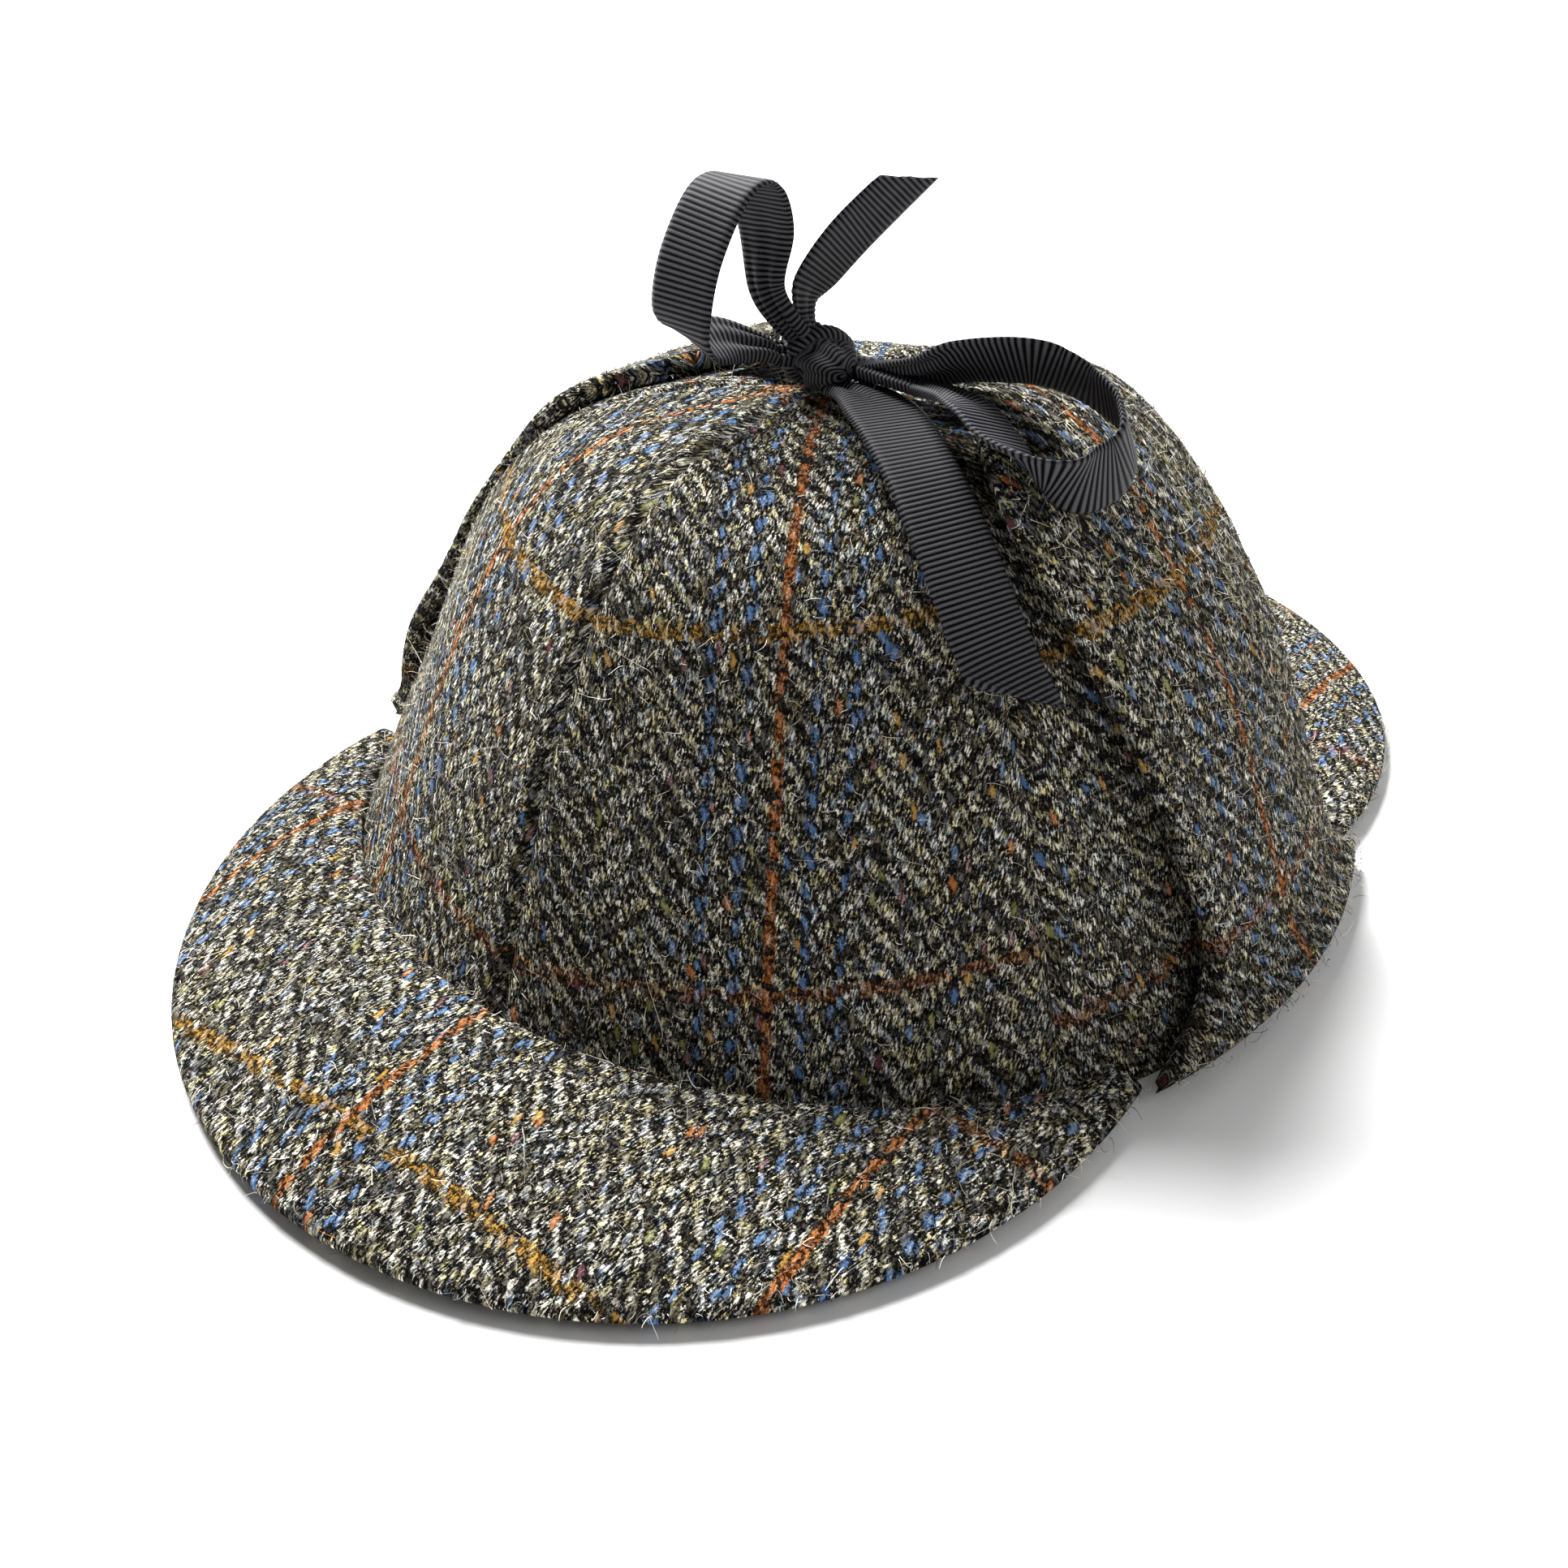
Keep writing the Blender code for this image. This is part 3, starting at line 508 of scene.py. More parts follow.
def makeCrown():
    columns, rows = crownShape["columns"], crownShape["rows"]
    turns = np.arange(columns) * 2 * math.pi / columns
    start = rimShare(np.where(rimHeight(turns) > 0, rimHeight(turns), -crownShape["lip"] * 0.2))
    shares = np.zeros((rows, columns))
    line = np.linspace(1, 0, crownShape["profileSteps"])
    for j in range(columns):
        plan = start[j] * line
        steps = np.hypot(np.diff(plan) * crownShape["halfWidth"], np.diff(plainHeight(plan)))
        run = np.concatenate([[0], np.cumsum(steps)])
        shares[:, j] = np.interp(run[-1] * np.arange(rows) / rows, run, plan)
    turnGrid = np.broadcast_to(turns, shares.shape)
    outer = crownPoint(turnGrid, shares)
    normals = gridNormals(outer, wrap=True)
    uneven = softUneven(outer, crownShape["unevenSize"], crownShape["unevenSeed"])[..., None]
    aboveRim = np.clip(outer[..., 2:3] / crownShape["unevenFrom"], 0, 1)
    outer = outer + normals * uneven * crownShape["uneven"] * aboveRim
    # A pressed seam: a narrow groove between two soft welts.
    width = 2 * math.pi / crownShape["panels"]
    fromSeam = np.abs(np.mod(turnGrid + width / 2, width) - width / 2)
    plan = np.hypot(outer[..., 0], outer[..., 1])
    seamRun = fromSeam * plan
    groove = np.exp(-((seamRun / crownShape["seamGrooveWidth"]) ** 2)) * crownShape["seamGroove"]
    welt = np.exp(-(((seamRun - crownShape["weltAway"]) / crownShape["weltWidth"]) ** 2)) * crownShape["welt"]
    fade = np.clip(plan / crownShape["seamFadeIn"], 0, 1)
    outer = outer - normals * ((groove - welt) * fade)[..., None]
    inner = outer - normals * crownShape["wall"]
    inner[0, :, 2] = outer[0, :, 2]
    inner[..., 2] = np.maximum(inner[..., 2], outer[:1, :, 2])  # nothing hangs below the rim
    peak = crownPoint(np.array([0.0]), np.array([0.0]))
    peakIn = peak - np.array([0, 0, crownShape["wall"]])
    points = np.vstack([outer.reshape(-1, 3), inner.reshape(-1, 3), peak, peakIn])
    count = rows * columns
    quads = quadIndex(rows, columns, wrap=True)
    ring = np.arange(columns)
    after = (ring + 1) % columns
    rim = np.stack([ring + count, after + count, after, ring], axis=-1)
    top = (rows - 1) * columns
    cap = capFaces(top, columns, 2 * count)
    capIn = capFaces(top + count, columns, 2 * count + 1, flip=True)
    # Flat places in each gore: across from its middle line, along from the rim. They are set for each
    # face's corners, so that a corner on a seam belongs to its own face's gore.
    along = runLength(outer, 0) + outer[0, :, 2][None, :]
    rowOf = np.repeat(np.arange(rows - 1), columns)
    columnOf = np.tile(np.arange(columns), rows - 1)
    nextOf = (columnOf + 1) % columns
    cornerRow = np.stack([rowOf, rowOf, rowOf + 1, rowOf + 1], axis=-1)
    here = turns[columnOf]
    cornerTurn = np.stack([here, here + turns[1], here + turns[1], here], axis=-1)
    cornerColumn = np.stack([columnOf, nextOf, nextOf, columnOf], axis=-1)
    goreOf = np.floor(turnGrid / width).astype(int)[0, columnOf][:, None]
    u = (cornerTurn - (goreOf + 0.5) * width) * plan[cornerRow, cornerColumn]
    v = along[cornerRow, cornerColumn]
    stripe, lineAt, climb = (column[goreOf] for column in np.array(goreChecks).T)
    stepU, stepV = crownShape["clothStep"]  # each gore is cut from its own place of the cloth
    weave = np.stack([u + goreOf * stepU + crownShape["clothStart"], v + goreOf * stepV], axis=-1)
    check = np.stack([u - stripe, v - lineAt - climb * u], axis=-1)
    spare = np.zeros((columns, 4, 2)) + 0.5
    capSpare = np.zeros((columns, 3, 2)) + 0.5
    layers = {}
    for key, values in (("weave", weave), ("check", check)):
        layers[key] = [values, values[:, ::-1], spare, capSpare, capSpare]
    faces = [quads, (quads + count)[:, ::-1], rim, cap, capIn]
    item = meshObject("crownCloth", points, faces, layers, tweedCrown)
    finishPiece(item, "crown_tweed", "crown")
    return outer, normals


crownOuter, crownNormals = makeCrown()

visor = {
    "halfWidth": 0.0908, "reach": 0.1388, "spring": 0.0483, "wall": 0.0034, "edgeHeight": 0.0019,
    "edgeWave": 0.0006, "skew": 0.0024, "dome": 0.0030, "domeCurve": 0.9, "backDraw": 0.0055,
    "crownSweep": 65.0, "edgeSweep": 95.0, "evenShare": 0.65, "uneven": 0.0005, "unevenSize": 0.045,
    "gap": 0.0003, "rounding": 0.0019, "columns": 190, "rows": 56, "stripe": -0.0010, "line": -0.1235,
    "flat": (0.182, 0.092), "clothAt": (0.5, 0.5),
}


# Where a piece is cut from the cloth.
def clothPlace(start, seed):
    return np.array([start[0] + seed * tweed["cutStep"], start[1]])


# Places from -1 to 1, a share of them even and the rest closer together at the ends.
def spreadPlaces(count, evenShare):
    closer = np.sin(np.linspace(-math.pi / 2, math.pi / 2, count))
    return evenShare * np.linspace(-1, 1, count) + (1 - evenShare) * closer


def makeVisor(name, node, front, seed):
    side = spreadPlaces(visor["columns"], visor["evenShare"])
    across = (1 - np.cos(np.linspace(0, math.pi, visor["rows"]))) / 2
    turn = np.radians(visor["crownSweep"]) * side
    edgeTurn = np.radians(visor["edgeSweep"]) * side
    half = visor["wall"] / 2
    root = crownPoint(turn, rimShare(rimHeight(turn) + half))
    out = unit(root * np.array([1, 1, 0]))
    root = root + out * visor["gap"] * 1.7
    root[:, 2] = rimHeight(turn) + half + 0.4 * visor["gap"]
    ahead = np.maximum(np.cos(edgeTurn), 0)
    draw = 0.0 if front else visor["backDraw"]
    edge = np.stack([
        visor["halfWidth"] * np.sin(edgeTurn) + visor["skew"] * ahead,
        -visor["spring"] - (visor["reach"] - visor["spring"]) * np.cos(edgeTurn)
        + draw * ahead * (1 - np.sin(edgeTurn)) / 2,
        visor["edgeHeight"] + visor["edgeWave"] * np.cos(2 * edgeTurn) ** 2,
    ], axis=-1)
    share = across[:, None, None]
    middle = root[None] * (1 - share) + edge[None] * share
    bulge = np.sin(math.pi * across[:, None])
    middle[..., 2] += visor["dome"] * np.cos(turn)[None] * bulge ** visor["domeCurve"]
    middle[..., 2] += softUneven(middle, visor["unevenSize"], seed) * visor["uneven"] * bulge
    if not front:
        middle[..., 1] *= -1
        middle = middle[:, ::-1]
    middle = middle[::-1]
    place = middle[..., :2]
    weave = place + clothPlace(visor["clothAt"], seed)
    check = np.stack([place[..., 0] - visor["stripe"], np.abs(place[..., 1]) + visor["line"]], axis=-1)
    item = pillowSheet(name, middle, visor["wall"], visor["rounding"], {"weave": weave, "check": check},
                       tweedVisor)
    finishPiece(item, "visor_tweed", node)
    return middle


frontMiddle = makeVisor("frontVisorCloth", "front_visor", True, 2)
backMiddle = makeVisor("backVisorCloth", "back_visor", False, 3)

flap = {
    "length": 0.1180, "halfWidth": 0.0300, "setBack": 0.0060, "lift": 0.0024, "gap": 0.0003,
    "foldWall": 0.0078, "foldHeight": 0.0150, "foldRise": 0.0021, "cornerDrop": 0.04, "wave": 0.0009,
    "waveSize": 0.034, "rows": 120, "columns": 62, "evenShare": 0.7, "sectionSteps": 121, "pastTop": 1.35,
    "line": 0.0740, "stripe": 0.0010, "leftWall": 0.0048, "leftRounding": 0.0030, "rightWall": 0.0036,
    "rightRounding": 0.0024, "waveFadeIn": 4, "flat": (0.078, 0.118), "clothAt": (1.5, 0.5),
}
# Each row: place along the flap, half width, how far forward, lift off the crown, all as shares.
leftFlap = [
    (0.000, 1.30, 0.17, 0.55),
    (0.030, 1.16, 0.12, 0.55),
    (0.080, 0.94, 0.04, 0.70),
    (0.180, 0.82, 0.00, 1.00),
    (0.300, 0.84, 0.00, 1.00),
    (0.400, 0.87, 0.00, 1.00),
    (0.500, 0.92, 0.00, 0.90),
    (0.590, 0.96, 0.00, 0.70),
    (0.680, 0.98, 0.00, 0.70),
    (0.770, 0.99, 0.00, 1.15),
    (0.830, 0.94, 0.00, 1.55),
    (0.890, 0.82, 0.00, 1.80),
    (0.940, 0.66, 0.00, 1.80),
    (0.975, 0.50, 0.00, 1.65),
    (1.000, 0.34, 0.00, 1.50),
]
rightFlap = [
    (0.000, 1.00, 0.26, 0.75),
    (0.030, 0.96, 0.30, 0.80),
    (0.080, 0.92, 0.40, 1.30),
    (0.180, 0.86, 0.50, 1.70),
    (0.300, 0.86, 0.50, 1.60),
    (0.400, 0.87, 0.44, 1.10),
    (0.500, 0.92, 0.30, 0.50),
    (0.590, 0.96, 0.14, 0.20),
    (0.680, 0.98, 0.04, 0.16),
    (0.770, 0.99, 0.00, 0.16),
    (0.830, 0.94, 0.00, 0.16),
    (0.890, 0.82, 0.00, 0.16),
    (0.940, 0.66, 0.00, 0.16),
    (0.975, 0.50, 0.00, 0.16),
    (1.000, 0.34, 0.00, 0.16),
]


# A flap lies on the crown: each of its points is found by its run up the crown's own section.
def makeFlap(name, node, side, table, wall, rounding, seed):
    along = np.linspace(0, 1, flap["rows"])
    course = smoothCourse(table, 8)
    halfShare, foreShare, liftShare = (np.interp(along, course[:, 0], course[:, k]) for k in (1, 2, 3))
    half = flap["halfWidth"] * halfShare
    centre = flap["setBack"] - flap["halfWidth"] * foreShare
    lift = flap["lift"] * liftShare
    fold = np.maximum(0, 1 - along * flap["length"] / flap["foldHeight"]) ** 2
    across = spreadPlaces(flap["columns"], flap["evenShare"])
    y = centre[:, None] + half[:, None] * across[None]
    goal = flap["length"] * along[:, None] * (1 - flap["cornerDrop"] * np.abs(across) ** 3)[None]
    reach = crownShape["halfWidth"] * np.sqrt(np.maximum(1 - (y / crownShape["halfLength"]) ** 2, 0))
    steps = np.linspace(0, 1, flap["sectionSteps"])
    sectionX = side * reach[..., None] * (1 - flap["pastTop"] * steps)
    sectionZ = crownHeightAt(sectionX, np.broadcast_to(y[..., None], sectionX.shape))
    sectionZ[..., 0] = 0
    climbed = np.cumsum(np.hypot(np.diff(sectionX), np.diff(sectionZ)), axis=-1)
    run = np.concatenate([np.zeros(y.shape + (1,)), climbed], axis=-1)
    index = np.clip((run < goal[..., None]).sum(axis=-1), 1, flap["sectionSteps"] - 1)[..., None]
    low = np.take_along_axis(run, index - 1, -1)[..., 0]
    high = np.take_along_axis(run, index, -1)[..., 0]
    t = np.clip((goal - low) / np.maximum(high - low, 1e-9), 0, 1)

    def at(values):
        a = np.take_along_axis(values, index - 1, -1)[..., 0]
        b = np.take_along_axis(values, index, -1)[..., 0]
        return a + (b - a) * t

    x, z = at(sectionX), at(sectionZ)
    normal = crownNormalAt(x, y)
    level = unit(normal * np.array([1, 1, 0]))
    foldGrid = fold[:, None, None]
    normal = unit(normal * (1 - foldGrid) + level * foldGrid)
    wallGrid = np.broadcast_to((wall + (flap["foldWall"] - wall) * fold)[:, None], x.shape)
    middle = np.stack([x, y, z], axis=-1)
    fromFold = np.clip(along * flap["waveFadeIn"], 0, 1)[:, None]
    waves = softUneven(middle, flap["waveSize"], seed) * flap["wave"] * fromFold
    middle = middle + normal * (lift[:, None] + wallGrid / 2 + waves)[..., None]
    middle[..., 2] += fold[:, None] * (flap["gap"] + flap["foldRise"])
    flat = np.stack([y, goal], axis=-1)
    if side < 0:
        middle, flat = middle[:, ::-1], flat[:, ::-1]
        wallGrid = wallGrid[:, ::-1]
    weave = flat + clothPlace(flap["clothAt"], seed)
    check = np.stack([flat[..., 0] - flap["stripe"], flat[..., 1] - flap["line"]], axis=-1)
    item = pillowSheet(name, middle, wallGrid, rounding, {"weave": weave, "check": check}, tweedFlap,
                       follow=side)
    finishPiece(item, "flap_tweed", node)
    return middle, wallGrid


leftMiddle, leftWall = makeFlap("leftFlapCloth", "left_ear_flap", 1, leftFlap, flap["leftWall"],
                                flap["leftRounding"], 5)
rightMiddle, rightWall = makeFlap("rightFlapCloth", "right_ear_flap", -1, rightFlap, flap["rightWall"],
                                  flap["rightRounding"], 6)
print("flaps made")

ribbon = {
    "width": 0.0125, "wall": 0.00050, "rib": 0.00027, "samples": 5, "columns": 15, "selvedge": 0.93,
    "rounding": 0.00030, "gatherDepth": 0.0011, "pleats": 2.5, "pleatPhase": 0.6, "clothAt": 0.1,
    "slantFrom": 0.86, "frontSlant": -0.48, "standingSlant": 0.27, "tuck": 0.55, "tuckGather": 0.8,
    "tieFrom": 0.0020, "tieBack": 0.40, "tieGather": 0.50, "tieReach": 0.84, "tieEndRise": 0.6,
    "courseSteps": 30, "knotPlace": (0.0020, -0.0064), "clearance": 0.0018,
    "knotHalf": (0.0078, 0.0062, 0.0050),
}
# Each row: x, y, z from the knot in ribbon widths, the width's turn and lean in degrees, and the share
# of the width that the gathered ribbon keeps.
standingLoop = [
    (-0.14, -0.28, 0.36, 0.0, 20.0, 0.40),
    (-0.26, -0.44, 0.60, 0.0, 26.0, 0.46),
    (-0.48, -0.50, 1.00, 0.0, 22.0, 0.60),
    (-0.53, -0.42, 1.70, 2.0, 2.0, 0.90),
    (-0.52, -0.66, 2.27, 2.0, 0.0, 1.00),
    (-0.54, -1.02, 2.42, 2.0, 0.0, 1.00),
    (-0.60, -1.38, 2.20, 2.0, 0.0, 1.00),
    (-0.69, -1.75, 1.60, 2.0, 0.0, 1.00),
    (-0.73, -1.92, 1.04, 0.0, -2.0, 1.00),
    (-0.74, -1.88, 0.72, -6.0, -10.0, 1.00),
    (-0.71, -1.62, 0.53, -14.0, -22.0, 0.98),
    (-0.58, -1.20, 0.44, -22.0, -32.0, 0.80),
    (-0.40, -0.74, 0.26, -28.0, -36.0, 0.46),
    (-0.34, -0.50, 0.12, -28.0, -36.0, 0.40),
]
lyingLoop = [
    (0.69, -0.02, -0.07, -77.0, 50.0, 0.33),
    (1.85, -0.26, 0.24, -77.0, 52.0, 0.60),
    (2.49, -0.30, 0.49, -77.0, 52.0, 0.90),
    (3.22, -0.14, 0.60, -77.0, 52.0, 1.00),
    (3.65, 0.04, 0.52, -77.0, 52.0, 1.00),
    (4.04, 0.13, 0.35, -77.0, 52.0, 1.00),
    (4.44, 0.05, 0.19, -77.0, 50.0, 1.00),
    (4.67, -0.11, 0.04, -82.0, 50.0, 1.00),
    (4.81, -0.33, -0.11, -86.0, 51.0, 1.00),
    (4.78, -0.58, -0.28, -96.0, 58.0, 1.00),
    (4.60, -0.94, -0.36, -92.0, 60.0, 1.00),
    (4.34, -1.18, -0.31, -70.0, 50.0, 1.00),
    (4.09, -1.24, -0.24, -66.0, 38.0, 1.00),
    (3.84, -1.21, -0.13, -82.0, 27.0, 1.00),
    (3.47, -1.11, 0.02, -89.0, 16.0, 1.00),
    (3.04, -0.92, 0.18, -86.0, 12.0, 0.92),
    (2.55, -0.70, 0.19, -86.0, 10.0, 0.56),
    (1.86, -0.34, 0.04, -90.0, 8.0, 0.34),
]
standingTail = [
    (-0.27, 0.07, 0.45, 100.0, -24.0, 0.52),
    (-0.30, 0.16, 0.78, 100.0, -34.0, 0.86),
    (-0.16, 0.34, 1.08, 99.0, -40.0, 1.00),
    (0.02, 0.60, 1.41, 98.0, -44.0, 1.00),
    (0.24, 0.88, 1.73, 97.0, -45.0, 0.96),
    (0.60, 1.20, 2.17, 97.0, -45.0, 0.90),
]
# Each row: x, y from the knot and the lift off the crown in ribbon widths, and the width's share.
frontTail = [
    (0.54, -0.36, 0.28, 0.40),
    (1.00, -0.48, 0.36, 0.75),
    (1.55, -0.76, 0.36, 1.00),
    (2.45, -1.36, 0.34, 1.00),
    (3.20, -1.79, 0.26, 1.00),
    (3.84, -2.10, 0.22, 1.00),
    (4.22, -2.22, 0.22, 1.00),
    (4.52, -2.27, 0.25, 1.00),
]
knotX, knotY = ribbon["knotPlace"]
knotAt = np.array([knotX, knotY, float(crownHeightAt(np.array(knotX), np.array(knotY)))
                   + ribbon["clearance"] + ribbon["knotHalf"][2]])


def resample(course, spacing):
    run = np.concatenate([[0], np.cumsum(np.linalg.norm(np.diff(course[:, :3], axis=0), axis=1))])
    count = max(int(run[-1] / spacing), 8)
    goal = np.linspace(0, run[-1], count + 1)
    return np.stack([np.interp(goal, run, course[:, k]) for k in range(course.shape[1])], axis=-1), run[-1]


# A ribbon by its centre line, the way its width points and the share of its width at each place.
# The ends named in tucks run on into the knot.
def makeRibbon(name, node, centres, widths, shares, slant, tucks):
    for end in tucks:
        inside = centres[end] + (knotAt - centres[end]) * ribbon["tuck"]
        if end:
            centres, widths = np.vstack([centres, inside]), np.vstack([widths, widths[-1:]])
            shares = np.append(shares, shares[-1] * ribbon["tuckGather"])
        else:
            centres, widths = np.vstack([inside, centres]), np.vstack([widths[:1], widths])
            shares = np.append(shares[0] * ribbon["tuckGather"], shares)
    spacing = grosgrain["pitch"] / ribbon["samples"]
    course, length = resample(np.hstack([centres, widths, shares[:, None]]), spacing)
    middle, widths, shares = course[:, :3], course[:, 3:6], course[:, 6]
    ahead = unit(np.gradient(middle, axis=0))
    widths = unit(widths - ahead * (widths * ahead).sum(axis=1, keepdims=True))
    normals = np.cross(ahead, widths)
    c = np.linspace(-1, 1, ribbon["columns"])
    last = len(middle) - 1
    share = np.arange(last + 1) / last
    nearEnd = np.maximum(0, (share - ribbon["slantFrom"]) / (1 - ribbon["slantFrom"]))
    run = slant * ribbon["width"] * nearEnd
    v = share[:, None] * length + (run[:, None] * c[None])
    half = ribbon["width"] / 2 * shares
    gather = np.clip(1 - shares, 0, 1)[:, None]
    pleat = np.sin(c[None] * math.pi * ribbon["pleats"] + ribbon["pleatPhase"])
    pleat = pleat * gather * ribbon["gatherDepth"]
    grid = middle[:, None] + widths[:, None] * (half[:, None] * c[None])[..., None]
    grid = grid + ahead[:, None] * (run[:, None] * c[None])[..., None] + normals[:, None] * pleat[..., None]
    ribShare = np.mod(v / grosgrain["pitch"], 1) * 2 - 1
    ribs = np.sqrt(np.maximum(1 - ribShare ** 2, 0)) * ribbon["rib"]
    ribs = ribs * (np.abs(c)[None] < ribbon["selvedge"])
    wall = ribbon["wall"] + 2 * ribs
    u = np.broadcast_to(c[None] * ribbon["width"] / 2, v.shape)
    weave = np.stack([u + ribbon["clothAt"], v], axis=-1)
    item = pillowSheet(name, grid, wall, ribbon["rounding"], {"weave": weave}, ribbonCloth)
    finishPiece(item, "ribbon", node)
    print(name, "length m", round(length, 4), "one layer m2", round(layerArea(item), 6))


# A ribbon that stands free of the crown, by its table of rows.
def freeRibbon(name, node, table, slant, tucks):
    course = smoothCourse(table, ribbon["courseSteps"])
    centres = knotAt + course[:, :3] * ribbon["width"]
    turn, lean = np.radians(course[:, 3]), np.radians(course[:, 4])
    widths = np.stack([np.cos(lean) * np.cos(turn), np.cos(lean) * np.sin(turn), np.sin(lean)], axis=-1)
    makeRibbon(name, node, centres, widths, course[:, 5], slant, tucks)


# A ribbon that lies over the crown at a lift.
def crownRibbon(name, node, x, y, lift, wide, slant, tucks):
    normals = crownNormalAt(x, y)
    centres = np.stack([x, y, crownHeightAt(x, y)], axis=-1) + normals * lift[:, None]
    widths = unit(np.cross(np.gradient(centres, axis=0), normals))
    makeRibbon(name, node, centres, widths, wide, slant, tucks)


def makeTie(name, node, side, table, middle, wallGrid):
    tip = float(np.abs(middle[..., 0]).min())
    wall = float(wallGrid[-1].min())
    t = np.linspace(0, 1, 40)
    ease = t * t * (3 - 2 * t)
    endX = knotX + side * ribbon["knotHalf"][0] * ribbon["tieReach"]
    startX = side * (tip - flap["gap"] * 2)
    startLift = flap["lift"] * table[-1][3] + wall / 2
    endLift = ribbon["clearance"] + ribbon["knotHalf"][2] * ribbon["tieEndRise"]
    y = ribbon["tieFrom"] * (1 - ease) + (knotY + ribbon["tieBack"] * ribbon["width"]) * ease
    crownRibbon(name, node, startX + (endX - startX) * t, y, startLift + (endLift - startLift) * ease,
                1 - (1 - ribbon["tieGather"]) * ease, 0.0, (-1,))


freeRibbon("loopStandingRibbon", "bow_loop_standing", standingLoop, 0.0, (0, -1))
freeRibbon("loopLyingRibbon", "bow_loop_lying", lyingLoop, 0.0, (0, -1))
freeRibbon("tailStandingRibbon", "bow_tail_standing", standingTail, ribbon["standingSlant"], (0,))
tail = smoothCourse(frontTail, ribbon["courseSteps"])
crownRibbon("tailFrontRibbon", "bow_tail_front", knotX + tail[:, 0] * ribbon["width"],
            knotY + tail[:, 1] * ribbon["width"], tail[:, 2] * ribbon["width"], tail[:, 3],
            ribbon["frontSlant"], (0,))
makeTie("leftTieRibbon", "left_tie", 1, leftFlap, leftMiddle, leftWall)
makeTie("rightTieRibbon", "right_tie", -1, rightFlap, rightMiddle, rightWall)
print("ribbons made")


knot = {
    "half": (0.0100, 0.0052, 0.0046), "turn": -25.0, "rows": 128, "columns": 240, "endShare": 0.012,
    "bandHalf": 0.27, "bandSway": 0.22, "pinch": 0.22, "pinchAway": 0.33, "pinchWide": 0.12, "pleats": 6,
    "pleatDepth": 0.12, "bandRise": 0.14, "ribRise": 0.060, "bandPhase": 0.6, "bandBack": 0.05,
    "pleatSway": 1.8, "pleatRate": 2.5, "ribStretch": 1.2, "ribSway": 0.0012, "ribPhase": 0.7,
    "bandStretch": 0.95, "bandLean": 0.8, "fill": 0.7,
}


# The knot: a wrap of gathered ribbon round the crossing, with pleats along it and ribs across.
def makeKnot():
    rows, columns, pitch = knot["rows"], knot["columns"], grosgrain["pitch"]
    length = knot["half"]
    polar, around = np.meshgrid(np.linspace(knot["endShare"], 1 - knot["endShare"], rows) * math.pi,
                                np.arange(columns) * 2 * math.pi / columns, indexing="ij")
    x, y, z = np.cos(polar), np.sin(polar) * np.cos(around), np.sin(polar) * np.sin(around)
    middle = knot["bandSway"] * np.sin(around + knot["bandPhase"]) - knot["bandBack"]
    band = np.exp(-(((x - middle) / knot["bandHalf"]) ** 6))
    beside = (np.abs(x - middle) - knot["pinchAway"]) / knot["pinchWide"]
    pinch = knot["pinch"] * np.exp(-(beside ** 2))
    pleats = np.cos(around * knot["pleats"] + knot["pleatSway"] * np.sin(x * knot["pleatRate"]))
    pleats = knot["pleatDepth"] * pleats * np.sqrt(np.sin(polar))
    sway = knot["ribSway"] * np.sin(around * 2 + knot["ribPhase"])
    ribRun = (x * length[0] * knot["ribStretch"] + sway) / pitch
    bandRun = around * length[1] * knot["bandStretch"] / pitch + knot["bandLean"] * x
    ribs = np.abs(np.sin(math.pi * ribRun)) * (1 - band) + np.abs(np.sin(math.pi * bandRun)) * band
    swell = 1 - pinch + pleats * (1 - band) + knot["bandRise"] * band + knot["ribRise"] * ribs
    local = np.stack([x * length[0], y * length[1] * swell, z * length[2] * swell], axis=-1)
    turn = math.radians(knot["turn"])
    spin = np.array([[math.cos(turn), -math.sin(turn), 0], [math.sin(turn), math.cos(turn), 0], [0, 0, 1]])
    grid = local @ spin.T + knotAt
    points = np.vstack([grid.reshape(-1, 3), grid[0].mean(axis=0)[None], grid[-1].mean(axis=0)[None]])
    count = rows * columns
    quads = quadIndex(rows, columns, wrap=True)[:, ::-1]
    caps = [capFaces(0, columns, count), capFaces(count - columns, columns, count + 1, flip=True)]
    run = np.where(band > 0.5, bandRun, ribRun) * pitch
    place = np.stack([np.zeros_like(run) + ribbon["clothAt"], run], axis=-1).reshape(-1, 2)
    corners = [place[quads], np.zeros((columns, 3, 2)), np.zeros((columns, 3, 2))]
    item = meshObject("knotRibbon", points, [quads, *caps], {"weave": corners}, ribbonCloth)
    finishPiece(item, "ribbon", "bow_knot")


makeKnot()
print("knot made")

